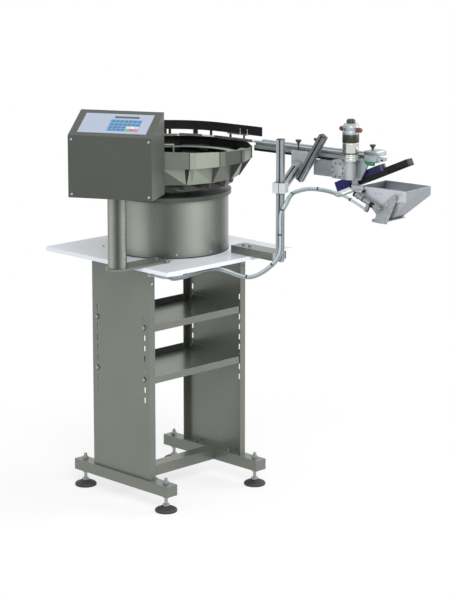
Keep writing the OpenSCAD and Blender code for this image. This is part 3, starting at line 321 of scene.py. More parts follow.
def box_paint():
    return finish(
        "box_paint", finishes().box_paint, 0.36, 0.5, grain_scale=1400, tone=0.1, patch=5,
        bump=0.1, wear=0.5, wear_colour=(0.4, 0.42, 0.38), coat=0.1,
    )


def cover_paint():
    return finish(
        "cover_paint", finishes().cover_paint, 0.38, 0.45, grain_scale=1400, tone=0.1, patch=5,
        bump=0.1, wear=0.5, wear_colour=(0.36, 0.38, 0.34), coat=0.1,
    )


def drum_steel():
    return finish(
        "drum_steel", finishes().drum_steel, 0.34, 0.6, grain=(1, 1, 60), grain_scale=40, tone=0.08,
        patch=3, bump=0.08, wear=0.4, spread=0.06, anisotropic=0.5, recess_shade=0.5, reach=0.03, bands=6,
    )


# Heights in metres: top of the painted shade on the bowl's foot, and the band of the brighter tread top
FOOT_SHADE_TOP = 1.168
TREAD_BOTTOM, TREAD_TOP = 1.226, 1.236


def bowl_steel():
    return finish(
        "bowl_steel", finishes().bowl_steel, 0.38, 0.6, grain=(1, 1, 9), grain_scale=120, tone=0.08,
        patch=5, bump=0.05, wear=0.35, wear_colour=(0.5, 0.53, 0.47), spread=0.05, bands=6,
        reflection_band_tones=(0.4, 1.35), change=shaded_folds_black_inside,
    )


def level(tree, vector):
    """A direction laid flat, at length 1"""
    return vector_math(tree, "NORMALIZE", vector_math(tree, "MULTIPLY", vector, (1, 1, 0)))


def shaded_folds_black_inside(tree, base):
    """Painted shade on the folds between the bowl's wide faces and on its foot, and black inside"""
    place = object_place(tree)
    from_axis = vector_math(tree, "SUBTRACT", place, (AXIS.x, AXIS.y, 0))
    outward = vector_math(
        tree, "DOT_PRODUCT", level(tree, from_axis), level(tree, face_normal(tree))
    )
    # Painted shade on the narrow folds, by how far a face turns from the axis
    fold_shade = remap(tree, outward, 0.93, 0.82, 0.0, 0.8)
    inside = remap(tree, outward, 0.1, 0.0, 0.0, 1.0)
    # Painted shade on the bowl's foot, darker below its top
    foot = remap(tree, split(tree, place)["Z"], FOOT_SHADE_TOP, FOOT_SHADE_TOP + 0.004, 0.85, 0.0)
    dark = calculate(tree, "MAXIMUM", calculate(tree, "MAXIMUM", fold_shade, inside), foot)
    return overlaid(tree, dark, base, (0.012, 0.012, 0.011, 1))


def clamp_steel():
    return finish(
        "clamp_steel", (0.05, 0.052, 0.05), 0.4, 0.6, grain_scale=900, tone=0.2, patch=30, bump=0.1,
    )


def tread_coating():
    return finish(
        "tread_coating", finishes().black_paint, 0.42, 0.1, grain_scale=1200, tone=0.4, patch=12,
        bump=0.15, specular=0.2, change=bright_tread_top,
    )


def bright_tread_top(tree, base):
    """A brighter tread top on the track's last stretch, more so where a face looks up"""
    height = split(tree, object_place(tree))["Z"]
    upward = split(tree, face_normal(tree))["Z"]
    high = remap(tree, height, TREAD_BOTTOM, TREAD_TOP, 0.0, 1.0)
    share = calculate(tree, "MULTIPLY", high, upward, use_clamp=True)
    return overlaid(tree, share, base, (0.5, 0.53, 0.47, 1))


def hopper_steel():
    return finish(
        "hopper_steel", (0.27, 0.295, 0.32), 0.38, 0.6, grain=(1, 1, 8), grain_scale=180, tone=0.14,
        patch=16, bump=0.1, wear=0.6, wear_colour=(0.85, 0.88, 0.9), spread=0.07, recess_shade=0.8,
        reach=0.1, change=lit_near_plate,
    )


def lit_near_plate(tree, base):
    """Painted light: a paler tone on the plate that looks away from the track"""
    near = RAIL.to_3x3().normalized() @ Vector((0, -1, 0))
    facing = vector_math(tree, "DOT_PRODUCT", face_normal(tree), tuple(near))
    return overlaid(tree, remap(tree, facing, 0.9, 0.97, 0.0, 0.8), base, (0.6, 0.61, 0.66, 1))


def flap_steel():
    return finish(
        "flap_steel", (0.33, 0.35, 0.36), 0.36, 0.6, grain=(6, 6, 1), grain_scale=90, tone=0.4,
        patch=45, bump=0.15, wear=0.6, wear_colour=(0.8, 0.83, 0.86), recess_shade=0.7, reach=0.03,
    )


def strip_steel():
    return finish(
        "strip_steel", (0.2, 0.215, 0.185), 0.42, 0.6, grain_scale=700, tone=0.12, patch=40,
        bump=0.1,
    )


def fitting_steel():
    return finish(
        "fitting_steel", tinted(finishes().bright_steel, 0.55), 0.34, 0.9, grain_scale=700,
        tone=0.12, patch=40, bump=0.1,
    )


def cable_grey():
    return finish(
        "cable_grey", tinted(finishes().hose_plastic, 0.62), 0.4, 0.0, grain_scale=600, tone=0.1,
        patch=18, bump=0.06, coat=0.2, soft_edge=False,
    )


def post_steel():
    return finish(
        "post_steel", finishes().post_steel, 0.26, 0.7, grain=(40, 40, 1), grain_scale=30, tone=0.1,
        patch=8, bump=0.05, spread=0.06, anisotropic=0.3, bands=4, reflection_band_tones=(0.35, 1.7),
        reflection_band_turn=230,
    )


def bright_steel():
    return finish(
        "bright_steel", finishes().bright_steel, 0.24, 0.95, grain_scale=600, tone=0.08, patch=30,
        bump=0.06, spread=0.07,
    )


def motor_steel():
    return finish(
        "motor_steel", finishes().motor_steel, 0.14, 1.0, grain=(1, 1, 30), grain_scale=60,
        tone=0.07, patch=20, bump=0.05, spread=0.04, anisotropic=0.4,
    )


def aluminium():
    return finish(
        "aluminium", finishes().aluminium, 0.36, 0.8, grain=(1, 1, 6), grain_scale=260, tone=0.11,
        patch=14, bump=0.08, wear=0.4, wear_colour=(0.8, 0.83, 0.86), spread=0.07,
    )


def pale_aluminium():
    return finish(
        "pale_aluminium", (0.55, 0.58, 0.6), 0.4, 0.6, grain=(1, 1, 6), grain_scale=260, tone=0.14,
        patch=14, bump=0.08, wear=0.4, wear_colour=(0.8, 0.83, 0.86), spread=0.07, recess_shade=0.7,
        reach=0.015,
    )


def profile_metal():
    return finish(
        "profile_metal", tinted(finishes().aluminium, 0.82), 0.34, 0.85, grain=(8, 8, 1),
        grain_scale=200, tone=0.14, patch=16, bump=0.1, wear=0.5, wear_colour=(0.8, 0.83, 0.86),
        recess_shade=0.9, reach=0.012,
    )


def gear_case():
    return finish(
        "gear_case", (0.36, 0.385, 0.39), 0.46, 0.55, grain_scale=1500, tone=0.1, patch=18,
        bump=0.2, wear=0.5, wear_colour=(0.8, 0.82, 0.8),
    )


def table_paint():
    return finish(
        "table_paint", finishes().table_paint, 0.42, 0.05, grain_scale=1100, tone=0.05, patch=4,
        bump=0.05, wear=0.5, wear_colour=(0.9, 0.92, 0.95), coat=0.2,
    )


def black_coating():
    return finish(
        "black_coating", finishes().black_paint, 0.4, 0.0, grain_scale=1300, tone=0.4, patch=12,
        bump=0.15, wear=0.6, wear_colour=(0.1, 0.1, 0.11), specular=0.14,
    )


def rubber():
    return finish(
        "rubber", finishes().rubber, 0.62, 0.0, grain_scale=1700, tone=0.25, patch=20, bump=0.25,
        wear=0.4, wear_colour=(0.12, 0.12, 0.12),
    )


def knob_plastic():
    return finish(
        "knob_plastic", finishes().knob_plastic, 0.32, 0.0, grain_scale=1900, tone=0.2, patch=40,
        bump=0.08, coat=0.3,
    )


def belt_rubber():
    return finish(
        "belt_rubber", finishes().belt_blue, 0.4, 0.0, grain_scale=1300, tone=0.2, patch=22,
        bump=0.3, wear=0.5, wear_colour=(0.14, 0.17, 0.45), coat=0.12, specular=0.3,
        change=shaded_upper_end,
    )


def shaded_upper_end(tree, base):
    """Painted shade: the belt's upper end, made darker"""
    start, along = BELT.translation, BELT.to_3x3().normalized() @ Vector((1, 0, 0))
    from_nose = vector_math(tree, "SUBTRACT", object_place(tree), tuple(start))
    run = vector_math(tree, "DOT_PRODUCT", from_nose, tuple(along))
    return scaled(tree, base, remap(tree, run, 0.06, 0.13, 1.0, 0.3))


def hose_plastic():
    return finish(
        "hose_plastic", finishes().hose_plastic, 0.34, 0.0, grain_scale=500, tone=0.08, patch=16,
        bump=0.05, coat=0.3, soft_edge=False,
    )


def iron_core():
    return finish(
        "iron_core", (0.12, 0.122, 0.13), 0.5, 0.7, grain=(1, 60, 1), grain_scale=30, tone=0.2,
        patch=20, bump=0.2,
    )


def green_plastic():
    return finish(
        "green_plastic", finishes().block_green, 0.42, 0.0, grain_scale=1500, tone=0.12, patch=30,
        bump=0.1, wear=0.3, wear_colour=(0.1, 0.5, 0.3),
    )


def white_plastic():
    return finish(
        "white_plastic", (0.78, 0.8, 0.8), 0.4, 0.0, grain_scale=1500, tone=0.05, patch=30,
        bump=0.1,
    )


def olive_band():
    return finish(
        "olive_band", (0.035, 0.04, 0.028), 0.3, 0.6, grain=(1, 1, 20), grain_scale=60, tone=0.3,
        patch=30, bump=0.1,
    )


def red_brown():
    return finish(
        "red_brown", (0.12, 0.035, 0.03), 0.38, 0.0, grain_scale=1500, tone=0.25, patch=40,
        bump=0.1,
    )


# ---------- shapes ----------

def dress(material, *nodes):
    """Gives CAD nodes a finish"""
    for name in nodes:
        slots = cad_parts[name].material_slots
        for slot in slots:
            slot.link = "DATA"
            slot.material = material


def make_piece(name, shape, material, body, replaces=(), bevel=0.0, smooth=30):
    """Turns a finished bmesh, in metres, into a piece that rides on a body"""
    bmesh.ops.remove_doubles(shape, verts=shape.verts, dist=1e-6)
    bmesh.ops.recalc_face_normals(shape, faces=shape.faces)
    mesh = bpy.data.meshes.new(name)
    shape.to_mesh(mesh)
    shape.free()
    piece = bpy.data.objects.new(name, mesh)
    bpy.context.scene.collection.objects.link(piece)
    mesh.materials.append(material)
    if bevel:
        rounded = piece.modifiers.new("edges", "BEVEL")
        rounded.width = bevel
        rounded.segments = 2
        rounded.limit_method = "ANGLE"
        rounded.angle_limit = math.radians(40)
    mesh.shade_smooth()
    for edge in mesh.edges:
        edge.use_edge_sharp = False
    mark_sharp(mesh, smooth)
    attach(piece, body)
    if replaces:
        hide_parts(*replaces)
    return piece


def mark_sharp(mesh, degrees):
    shape = bmesh.new()
    shape.from_mesh(mesh)
    for edge in shape.edges:
        edge.smooth = len(edge.link_faces) == 2 and edge.calc_face_angle() < math.radians(degrees)
    shape.to_mesh(mesh)
    shape.free()


def edges_of(verts):
    """The edges at some vertices, each once"""
    return list(dict.fromkeys(e for v in verts for e in v.link_edges))


def block(shape, low, high, bevel=0.0, segments=2):
    """A block between two corners, with rounded edges"""
    size = Vector(high) - Vector(low)
    where = Matrix.Translation((Vector(high) + Vector(low)) / 2) @ Matrix.Diagonal((*size, 1))
    verts = bmesh.ops.create_cube(shape, size=1, matrix=where)["verts"]
    if bevel:
        bmesh.ops.bevel(
            shape, geom=edges_of(verts), offset=bevel, offset_type="OFFSET", segments=segments, profile=0.5,
            affect="EDGES", material=-1,
        )


def along_axis(centre, axis):
    """The frame at a centre whose Z runs along an axis"""
    return Matrix.Translation(centre) @ axis.to_track_quat("Z", "Y").to_matrix().to_4x4()


def rod(shape, start, end, radius, end_radius=None, sides=32, bevel=0.0):
    """A round bar or cone from start to end"""
    start, end = Vector(start), Vector(end)
    axis = end - start
    where = along_axis((start + end) / 2, axis)
    verts = bmesh.ops.create_cone(
        shape, cap_ends=True, segments=sides, radius1=radius,
        radius2=radius if end_radius is None else end_radius, depth=axis.length, matrix=where,
    )["verts"]
    if bevel:
        rims = [e for e in edges_of(verts) if any(len(f.verts) > 4 for f in e.link_faces)]
        bmesh.ops.bevel(
            shape, geom=rims, offset=bevel, offset_type="OFFSET", segments=2, profile=0.5,
            affect="EDGES", material=-1,
        )


def turned(shape, outline, sides=48):
    """A turned form: its outline, radius and height pairs, goes full circle round Z"""
    verts = [shape.verts.new((r, 0, z)) for r, z in outline]
    edges = [shape.edges.new(pair) for pair in zip(verts, verts[1:])]
    bmesh.ops.spin(
        shape, geom=verts + edges, cent=(0, 0, 0), axis=(0, 0, 1), angle=math.tau, steps=sides,
        use_merge=True,
    )
    bmesh.ops.remove_doubles(shape, verts=shape.verts, dist=1e-4)


def placed(shape, where):
    """Moves a shape in millimetres to its place"""
    bmesh.ops.transform(shape, matrix=where, verts=shape.verts)
    return shape


def join(shape, part):
    """Adds one shape to another"""
    mesh = bpy.data.meshes.new("part")
    part.to_mesh(mesh)
    part.free()
    shape.from_mesh(mesh)
    bpy.data.meshes.remove(mesh)


def piece_of(name, where, material, body, build, replaces=(), bevel=0.0, smooth=30):
    """Builds a piece in a group's own millimetres and puts it in place"""
    shape = bmesh.new()
    build(shape)
    placed(shape, where)
    return make_piece(name, shape, material, body, replaces, bevel, smooth)


# ---------- hoses ----------

HOSE_POINTS = [
    (302.57, -681.09, 1090.66), (301.56, -671.94, 1094.57), (300, -658, 1100.5),
    (298, -640, 1108.2), (296, -617, 1117), (295.5, -597, 1123.5), (295, -572, 1129),
    (294, -543, 1134), (292, -510, 1137.5), (286, -483, 1139.5), (271.5, -460.5, 1141),
    (246, -450.5, 1142), (195, -452, 1140), (155, -464, 1136), (126, -476, 1126),
    (105, -483, 1109), (93, -479, 1089), (89, -474, 1065), (89, -474, 1000), (89, -474, 955),
    (82.5, -471, 924), (66, -456.5, 895), (46, -430, 868), (30, -405, 852), (17, -381, 847),
    (2, -352, 852), (-16, -320, 864), (-42, -298, 874), (-75, -291, 878), (-110, -290, 878),
    (-150, -290, 874), (-190, -290, 868.5), (-220, -288, 866.3), (-245, -279.5, 866),
    (-260, -262, 866), (-265, -240, 866), (-265, -222, 866), (-265, -205, 866),
]
TIE_PLACES = [
    (296, -617, 1117), (280, -472, 1140), (155, -464, 1136), (93, -479, 1090), (89, -474, 1003),
    (66, -456.5, 895), (17, -381, 847), (-80, -291, 878), (-118, -290, 877.5),
]

BRANCH_START = [(300.8, -634, 1150.5), (300, -622, 1146), (298.5, -604, 1138.5)]
BRANCH_JOINS = 6
BUNDLE_FACING = (-0.55, -0.55, 0.63)
HOSE_GAP, TIE_THICKNESS = 0.4, 1.2


def smooth_line(points, steps=5):
    """A smooth line through given points"""
    points = [Vector(p) for p in points]
    line = []
    for i in range(len(points) - 1):
        a, b, c, d = (points[max(0, min(len(points) - 1, i + k))] for k in (-1, 0, 1, 2))
        for j in range(steps):
            t = j / steps
            line.append(
                0.5 * (2 * b + (c - a) * t + (2 * a - 5 * b + 4 * c - d) * t * t
                       + (3 * b - a - 3 * c + d) * t * t * t)
            )
    return line + [points[-1]]


def hose(name, line, diameter, material, far_end, replaces=(), stiffness="medium"):
    """A hose or cable along a line in the stand's millimetres"""
    line = [STAND @ Vector(p) for p in line]
    curve = bpy.data.curves.new(name, "CURVE")
    curve.dimensions = "3D"
    spline = curve.splines.new("POLY")
    spline.points.add(len(line) - 1)
    for point, where in zip(spline.points, line):
        point.co = (*where, 1)
    spline.use_smooth = True
    curve.bevel_depth = diameter / 2
    curve.bevel_resolution = 4
    curve.use_fill_caps = True
    curve.materials.append(material)
    piece = bpy.data.objects.new(name, curve)
    bpy.context.scene.collection.objects.link(piece)
    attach(piece, "stand")
    if replaces:
        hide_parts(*replaces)
    return piece


def tie_ring(shape, line, at, radius, width):
    """A flat tie with its lock, where the line passes nearest to a place"""
    i = min(range(1, len(line) - 1), key=lambda k: (line[k] - Vector(at)).length)
    axis = (line[i + 1] - line[i - 1]).normalized()
    rod(shape, line[i] - axis * width / 2, line[i] + axis * width / 2, radius, sides=24, bevel=0.5)
    side = axis.cross(Vector((0, 0, 1)))
    side = side.normalized() if side.length > 0.3 else Vector((0.7, -0.7, 0))
    block_at(shape, line[i] - side * radius, axis, (5, 5.5, 4))


def block_at(shape, centre, axis, size):
    where = along_axis(centre, axis) @ Matrix.Diagonal((*size, 1))
    bmesh.ops.create_cube(shape, size=1, matrix=where)


class FEEDER_OT_hoses(bpy.types.Operator):
    """Lays the air hoses along the support and under the table, and binds them with ties"""

    bl_idname = "feeder.hoses"
    bl_label = "Lay Hoses"

    def execute(self, context):
        main = smooth_line(HOSE_POINTS)
        hose("air_hose", main, sizes().hose, hose_plastic(), "object", ("hose_bundle",))
        offset = sizes().hose * 500 + sizes().branch * 500 + HOSE_GAP
        beside = list(BRANCH_START)
        for i, p in enumerate(HOSE_POINTS[:-4]):
            if i >= BRANCH_JOINS:
                along = Vector(HOSE_POINTS[i + 1]) - Vector(HOSE_POINTS[i - 1])
                side = along.normalized().cross(Vector(BUNDLE_FACING)).normalized()
                beside.append(tuple(Vector(p) - side * offset))
        end = Vector(beside[-1])
        beside += [(end.x - 10, end.y + 6, end.z + 5), (end.x - 13, end.y + 14, end.z + 8.5)]
        second = smooth_line(beside)
        hose("branch_hose", second, sizes().branch, cable_grey(), "object", stiffness="limp")
        shape = bmesh.new()
        for at in TIE_PLACES:
            tie_ring(shape, main, at, sizes().hose * 500 + TIE_THICKNESS, sizes().tie * 1000)
        placed(shape, STAND)
        make_piece("hose_ties", shape, knob_plastic(), "stand")
        return {"FINISHED"}


# ---------- groups ----------

class FEEDER_OT_stand(bpy.types.Operator):
    """Finishes the stand, its feet, shelves and bolts"""

    bl_idname = "feeder.stand"
    bl_label = "Finish Stand"

    def execute(self, context):
        dress(
            stand_paint(), "foot_beams", "cross_beam", "side_panel_left", "side_panel_right",
            "shelves", "sub_plate", "arm_plate", "support_beam",
        )
        dress(rubber(), "levelling_discs")
        dress(fitting_steel(), "levelling_studs", "frame_bolts", "cover_screws")
        dress(table_paint(), "table_top")
        return {"FINISHED"}


class FEEDER_OT_drive(bpy.types.Operator):
    """Finishes the drum and the drive inside it"""

    bl_idname = "feeder.drive"
    bl_label = "Finish Drive"

    def execute(self, context):
        dress(drum_steel(), "drum_cover", "leaf_springs")
        dress(stand_paint(), "drum_ring", "drive_base", "bowl_hub")
        dress(cover_paint(), "top_plate")
        dress(rubber(), "drum_seal", "rubber_mounts")
        dress(iron_core(), "electromagnet", "armature")
        dress(clamp_steel(), "centre_clamp")
        return {"FINISHED"}


GUARD_TAB_ANGLES = (46, 15.4, -2.2, -19)


class FEEDER_OT_bowl(bpy.types.Operator):
    """Finishes the bowl, its spiral track and its exit"""

    bl_idname = "feeder.bowl"
    bl_label = "Finish Bowl"

    def execute(self, context):
        dress(bowl_steel(), "bowl_shell")
        dress(black_coating(), "guard_wall")
        dress(tread_coating(), "spiral_track")
        dress(strip_steel(), "track_strips")
        dress(bright_steel(), "exit_chute")

        def tabs(shape):
            for azimuth in GUARD_TAB_ANGLES:
                tab = bmesh.new()
                block(tab, (300.5, -5, 1262), (304.3, 5, 1291), 0.8, 1)
                placed(tab, Matrix.Rotation(math.radians(azimuth), 4, "Z"))
                join(shape, tab)

        piece_of("guard_tabs", STAND, black_coating(), "bowl", tabs)
        return {"FINISHED"}


FILM_WIDTH, FILM_DEPTH = 246, 118
KEY_WIDTH, KEY_PITCH = 13.6, 15.6
# Name, colour, column and height on the film
COLOURED_KEYS = (
    ("key_yellow", (0.72, 0.6, 0.2), 4, 31), ("key_green", (0.12, 0.42, 0.2), 4, 16),
    ("key_red", (0.6, 0.07, 0.1), 5, 16), ("key_pale", (0.7, 0.72, 0.7), 5, 31),
    ("key_red_wide", (0.66, 0.12, 0.16), 6, 16), ("key_grey", (0.5, 0.55, 0.62), 6, 31),
)


class FEEDER_OT_box(bpy.types.Operator):
    """Finishes the control box and its keypad"""

    bl_idname = "feeder.box"
    bl_label = "Finish Control Box"

    def execute(self, context):
        dress(box_paint(), "control_box")
        dress(cover_paint(), "box_cover")
        dress(post_steel(), "control_post")
        self.keypad()
        return {"FINISHED"}

    def keypad(self):
        low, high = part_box("box_cover")
        height, depth, back = (high.z - low.z) * 1000, 145, 285
        slope = math.atan2(back - height, depth)
        run = math.hypot(back - height, depth)
        film = BOX @ Matrix.Translation((0, -depth / 2, height)) @ Matrix.Rotation(slope, 4, "X")
        y0 = (run - FILM_DEPTH) / 2

        def plate(name, material, x0, x1, y1, y2, bottom, top, bevel, replaces=()):
            piece_of(
                name, film, material, "stand",
                lambda s: block(s, (x0, y0 + y1, bottom), (x1, y0 + y2, top), bevel, 1), replaces,
            )

        def keys(shape, xs, ys, size):
            for x in xs:
                for y in ys:
                    block(shape, (x, y0 + y, 0.5), (x + size[0], y0 + y + size[1], 1.4), 0.35, 2)

        def key_plastic(name, colour, tone):
            return finish(name, colour, 0.4, 0.0, grain_scale=1500, tone=tone, patch=60)

        plate(
            "keypad_film", keypad_film(), -FILM_WIDTH / 2, FILM_WIDTH / 2, 0, FILM_DEPTH, 0.1, 0.8,
            0.3, ("keypad",),
        )
        window = finish(
            "display_dark", (0.03, 0.045, 0.06), 0.2, 0.0, grain_scale=800, tone=0.3, coat=0.4,
            bump=0.02,
        )
        plate("display_window", window, -14, 74, 92, 103, 0.5, 1.1, 0.2)
        blue = key_plastic("key_blue", finishes().key_blue, 0.15)
        pale = key_plastic("key_pale_blue", (0.2, 0.36, 0.52), 0.1)
        columns = [-20 + i * KEY_PITCH for i in range(7)]
        plate("key_field", pale, -24, 90, 12, 84, 0.5, 1.0, 0.3)

        def blue_keys(shape):
            keys(shape, columns, (47, 66), (KEY_WIDTH, 14))
            keys(shape, columns[:4], (16, 31), (KEY_WIDTH, 12))

        piece_of("keys_blue", film, blue, "stand", blue_keys)
        for name, colour, column, y in COLOURED_KEYS:
            piece_of(
                name, film, key_plastic(name, colour, 0.1), "stand",
                lambda s: keys(s, [columns[column]], (y,), (KEY_WIDTH, 12)),
            )


def keypad_film():
    return finish(
        "keypad_film", finishes().keypad_film, 0.36, 0.0, grain_scale=1800, tone=0.05, patch=9,
        bump=0.05, coat=0.25,
    )


PROFILE = 25


class FEEDER_OT_support(bpy.types.Operator):
    """Finishes the slotted profiles that carry the track and caps their ends"""

    bl_idname = "feeder.support"
    bl_label = "Finish Track Support"

    def execute(self, context):
        dress(profile_metal(), "support_post", "cross_arm", "strut_profile")
        dress(pale_aluminium(), "post_foot", "post_clamp", "swivel_block", "rail_bracket")
        cap = sizes().cap * 1000
        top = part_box("support_post")[1].z * 1000

        def caps(shape, where, low, high):
            part = bmesh.new()
            block(
                part, (-PROFILE / 2, -PROFILE / 2, low), (PROFILE / 2, PROFILE / 2, high), 1.2, 2
            )
            placed(part, where)
            join(shape, part)

        shape = bmesh.new()
        caps(shape, POST, top, top + cap)
        caps(shape, STRUT, STRUT_LENGTH, STRUT_LENGTH + cap)
        caps(shape, STRUT, -cap, 0)
        make_piece("profile_caps", shape, knob_plastic(), "stand")
        return {"FINISHED"}


class FEEDER_OT_track(bpy.types.Operator):
    """Finishes the straight track, its knobs and the blocks at its end"""

    bl_idname = "feeder.track"
    bl_label = "Finish Track"

    def execute(self, context):
        dress(aluminium(), "rail_track", "head_plate")
        dress(black_coating(), "rail_strip")
        dress(knob_plastic(), "knob_inlet", "knob_middle", "knob_outlet")

        def head(shape):
            block(shape, (500, -45, 1275.3), (554, 17, 1292), 1.5)
            block(shape, (500, -45, 1255), (554, -31.3, 1290), 1.2)

        piece_of("end_block", RAIL, aluminium(), "stand", head, ("head_block",))
        piece_of(
            "green_block", RAIL, green_plastic(), "stand",
            lambda s: block(s, (501, -45, 1240.5), (541, -33, 1254.9), 1.5),
        )
        piece_of(
            "end_plate", RAIL, white_plastic(), "stand",
            lambda s: block(s, (546.3, -25, 1272), (588.3, 25, 1275), 0.6),
        )
        return {"FINISHED"}


GEAR_BOLTS, GEAR_BOLT_CIRCLE = 8, 24.5
BELT_DEPTH = 35


class FEEDER_OT_belt(bpy.types.Operator):
    """Finishes the motor, its gear case and the belt"""

    bl_idname = "feeder.belt"
    bl_label = "Finish Belt Unit"

    def execute(self, context):
        dress(motor_steel(), "motor")
        dress(gear_case(), "gearbox")
        dress(belt_rubber(), "belt")
        dress(bright_steel(), "nose_roller", "tail_roller", "drive_roller")
        self.motor()
        self.gear_case()
        self.belt_bars()
        return {"FINISHED"}

    def motor(self):
        motor = RAIL @ Matrix.Translation(MOTOR_FOOT)

        def piece(name, material, slot, outlines, replaces=()):
            piece_of(
                name, motor, material, "stand",
                lambda s: [turned(s, outline) for outline in outlines], replaces,
            )

        def ring(height, radius, thick):
            return [
                (28, height), (radius - 0.5, height), (radius, height + 0.5),
                (radius, height + thick - 0.5), (radius - 0.5, height + thick),
                (28, height + thick), (28, height),
            ]

        head = [
            (0, 1351), (29, 1351), (29.5, 1352), (29.5, 1358), (27.5, 1361), (27.5, 1371),
            (29, 1374), (28, 1381), (22, 1388), (13, 1391), (0, 1391),
        ]
        top = [(0, 1391), (15, 1390), (16.5, 1393), (15.5, 1399), (11, 1403), (0, 1404)]
        band = [
            (29.05, 1321), (29.7, 1322), (29.7, 1349), (29.05, 1350.5), (28, 1350.5), (28, 1321),
            (29.05, 1321),
        ]
        piece("motor_cap", aluminium(), "aluminium", [head], ("motor_head",))
        piece("motor_top", knob_plastic(), "knob", [top])
        piece("motor_band", olive_band(), "black_paint", [band])

        def side_knobs(shape):
            for side in (-1, 1):
                rod(shape, (side * 25, 0, 1366), (side * 33, 0, 1366), 6, sides=24, bevel=0.6)
                rod(shape, (side * 33, 0, 1366), (side * 45, 0, 1366), 9, 8, sides=24, bevel=1)

        piece_of("motor_side_knobs", motor, red_brown(), "stand", side_knobs)
        piece("motor_ring", knob_plastic(), "knob", [ring(1281, 29.9, 4)])
        piece(
            "motor_collars", motor_steel(), "aluminium",
            [ring(1268, 30.2, 4), ring(1256, 31, 8), ring(1316, 29.6, 3)],
        )

    def gear_case(self):
        disc = turned_frame(RAIL, GEAR_DISC, 90, "X")

        def cover(shape):
            turned(shape, [(0, -0.2), (20, -0.2), (21, 1.2), (19, 2.2), (0, 2.2)])

        piece_of("gear_cover", disc, gear_case(), "stand", cover)

        def bolts(shape):
            for i in range(GEAR_BOLTS):
                a = math.tau * (i + 0.5) / GEAR_BOLTS
                x, y = GEAR_BOLT_CIRCLE * math.cos(a), GEAR_BOLT_CIRCLE * math.sin(a)
                rod(shape, (x, y, -0.5), (x, y, 2.2), 2.4, sides=12, bevel=0.4)

        piece_of("gear_bolts", disc, black_coating(), "stand", bolts)

    def belt_bars(self):
        low = -BELT_DEPTH / 2 - 3

        def bar(shape):
            block(shape, (66.3, -18, low - 3.5), (319, 18, low + 3), 1.5)
            block(shape, (218, -18, low - 3.5), (319, 18, low + 21.5), 2)
            block(shape, (52, -20.8, low - 3.5), (230, -18.2, low + 14), 0.8)
            for x in (80, 150, 205):
                rod(shape, (x, -20, low + 5), (x, -22.4, low + 5), 3, sides=16, bevel=0.4)

        piece_of("belt_bar", BELT, black_coating(), "stand", bar, ("belt_frame",))

        def nose(shape):
            rod(shape, (0, 0, low - 3.5), (0, 0, low + 3), 20, sides=48, bevel=1)
            block(shape, (0, -20.5, low - 3.5), (66, 18, low + 3), 1)

        piece_of("belt_nose_plate", BELT, white_plastic(), "stand", nose)


class FEEDER_OT_hopper(bpy.types.Operator):
    """Finishes the trap hopper, its flap and its air cylinder"""

    bl_idname = "feeder.hopper"
    bl_label = "Finish Hopper"

    def execute(self, context):
        dress(hopper_steel(), "hopper")
        dress(flap_steel(), "hopper_flap")
        dress(fitting_steel(), "flap_cylinder", "cylinder_rod")

        def bands(shape):
            for low, high in ((-1, 7), (40, 44), (74, 85)):
                rod(shape, (0, 0, low), (0, 0, high), 9.8, sides=32, bevel=0.5)

        piece_of("cylinder_bands", CYLINDER, black_coating(), "stand", bands)

        def near_bolts(shape):
            for s, z in ((507, 1150), (507, 1136), (498, 1128)):
                rod(shape, (s, -46, z), (s, -54, z), 4.5, sides=6, bevel=0.5)
            rod(shape, (488, -52, 1126), (500, -52, 1126), 4, sides=16, bevel=0.4)
            rod(shape, (480, -52, 1126), (489, -52, 1126), 8, 7, sides=24, bevel=1)

        piece_of("hopper_bolts", RAIL, black_coating(), "stand", near_bolts)
        return {"FINISHED"}


# ---------- stage ----------

CAMERA_PLACE = (-5.365, -5.503, 2.505)
CAMERA_HEADING, CAMERA_DOWN = 45.44, 11.33
LAMP_AIM = (0, 0, 0.9)
SKY_LEFT = (-0.75, 0.1, 0.65)


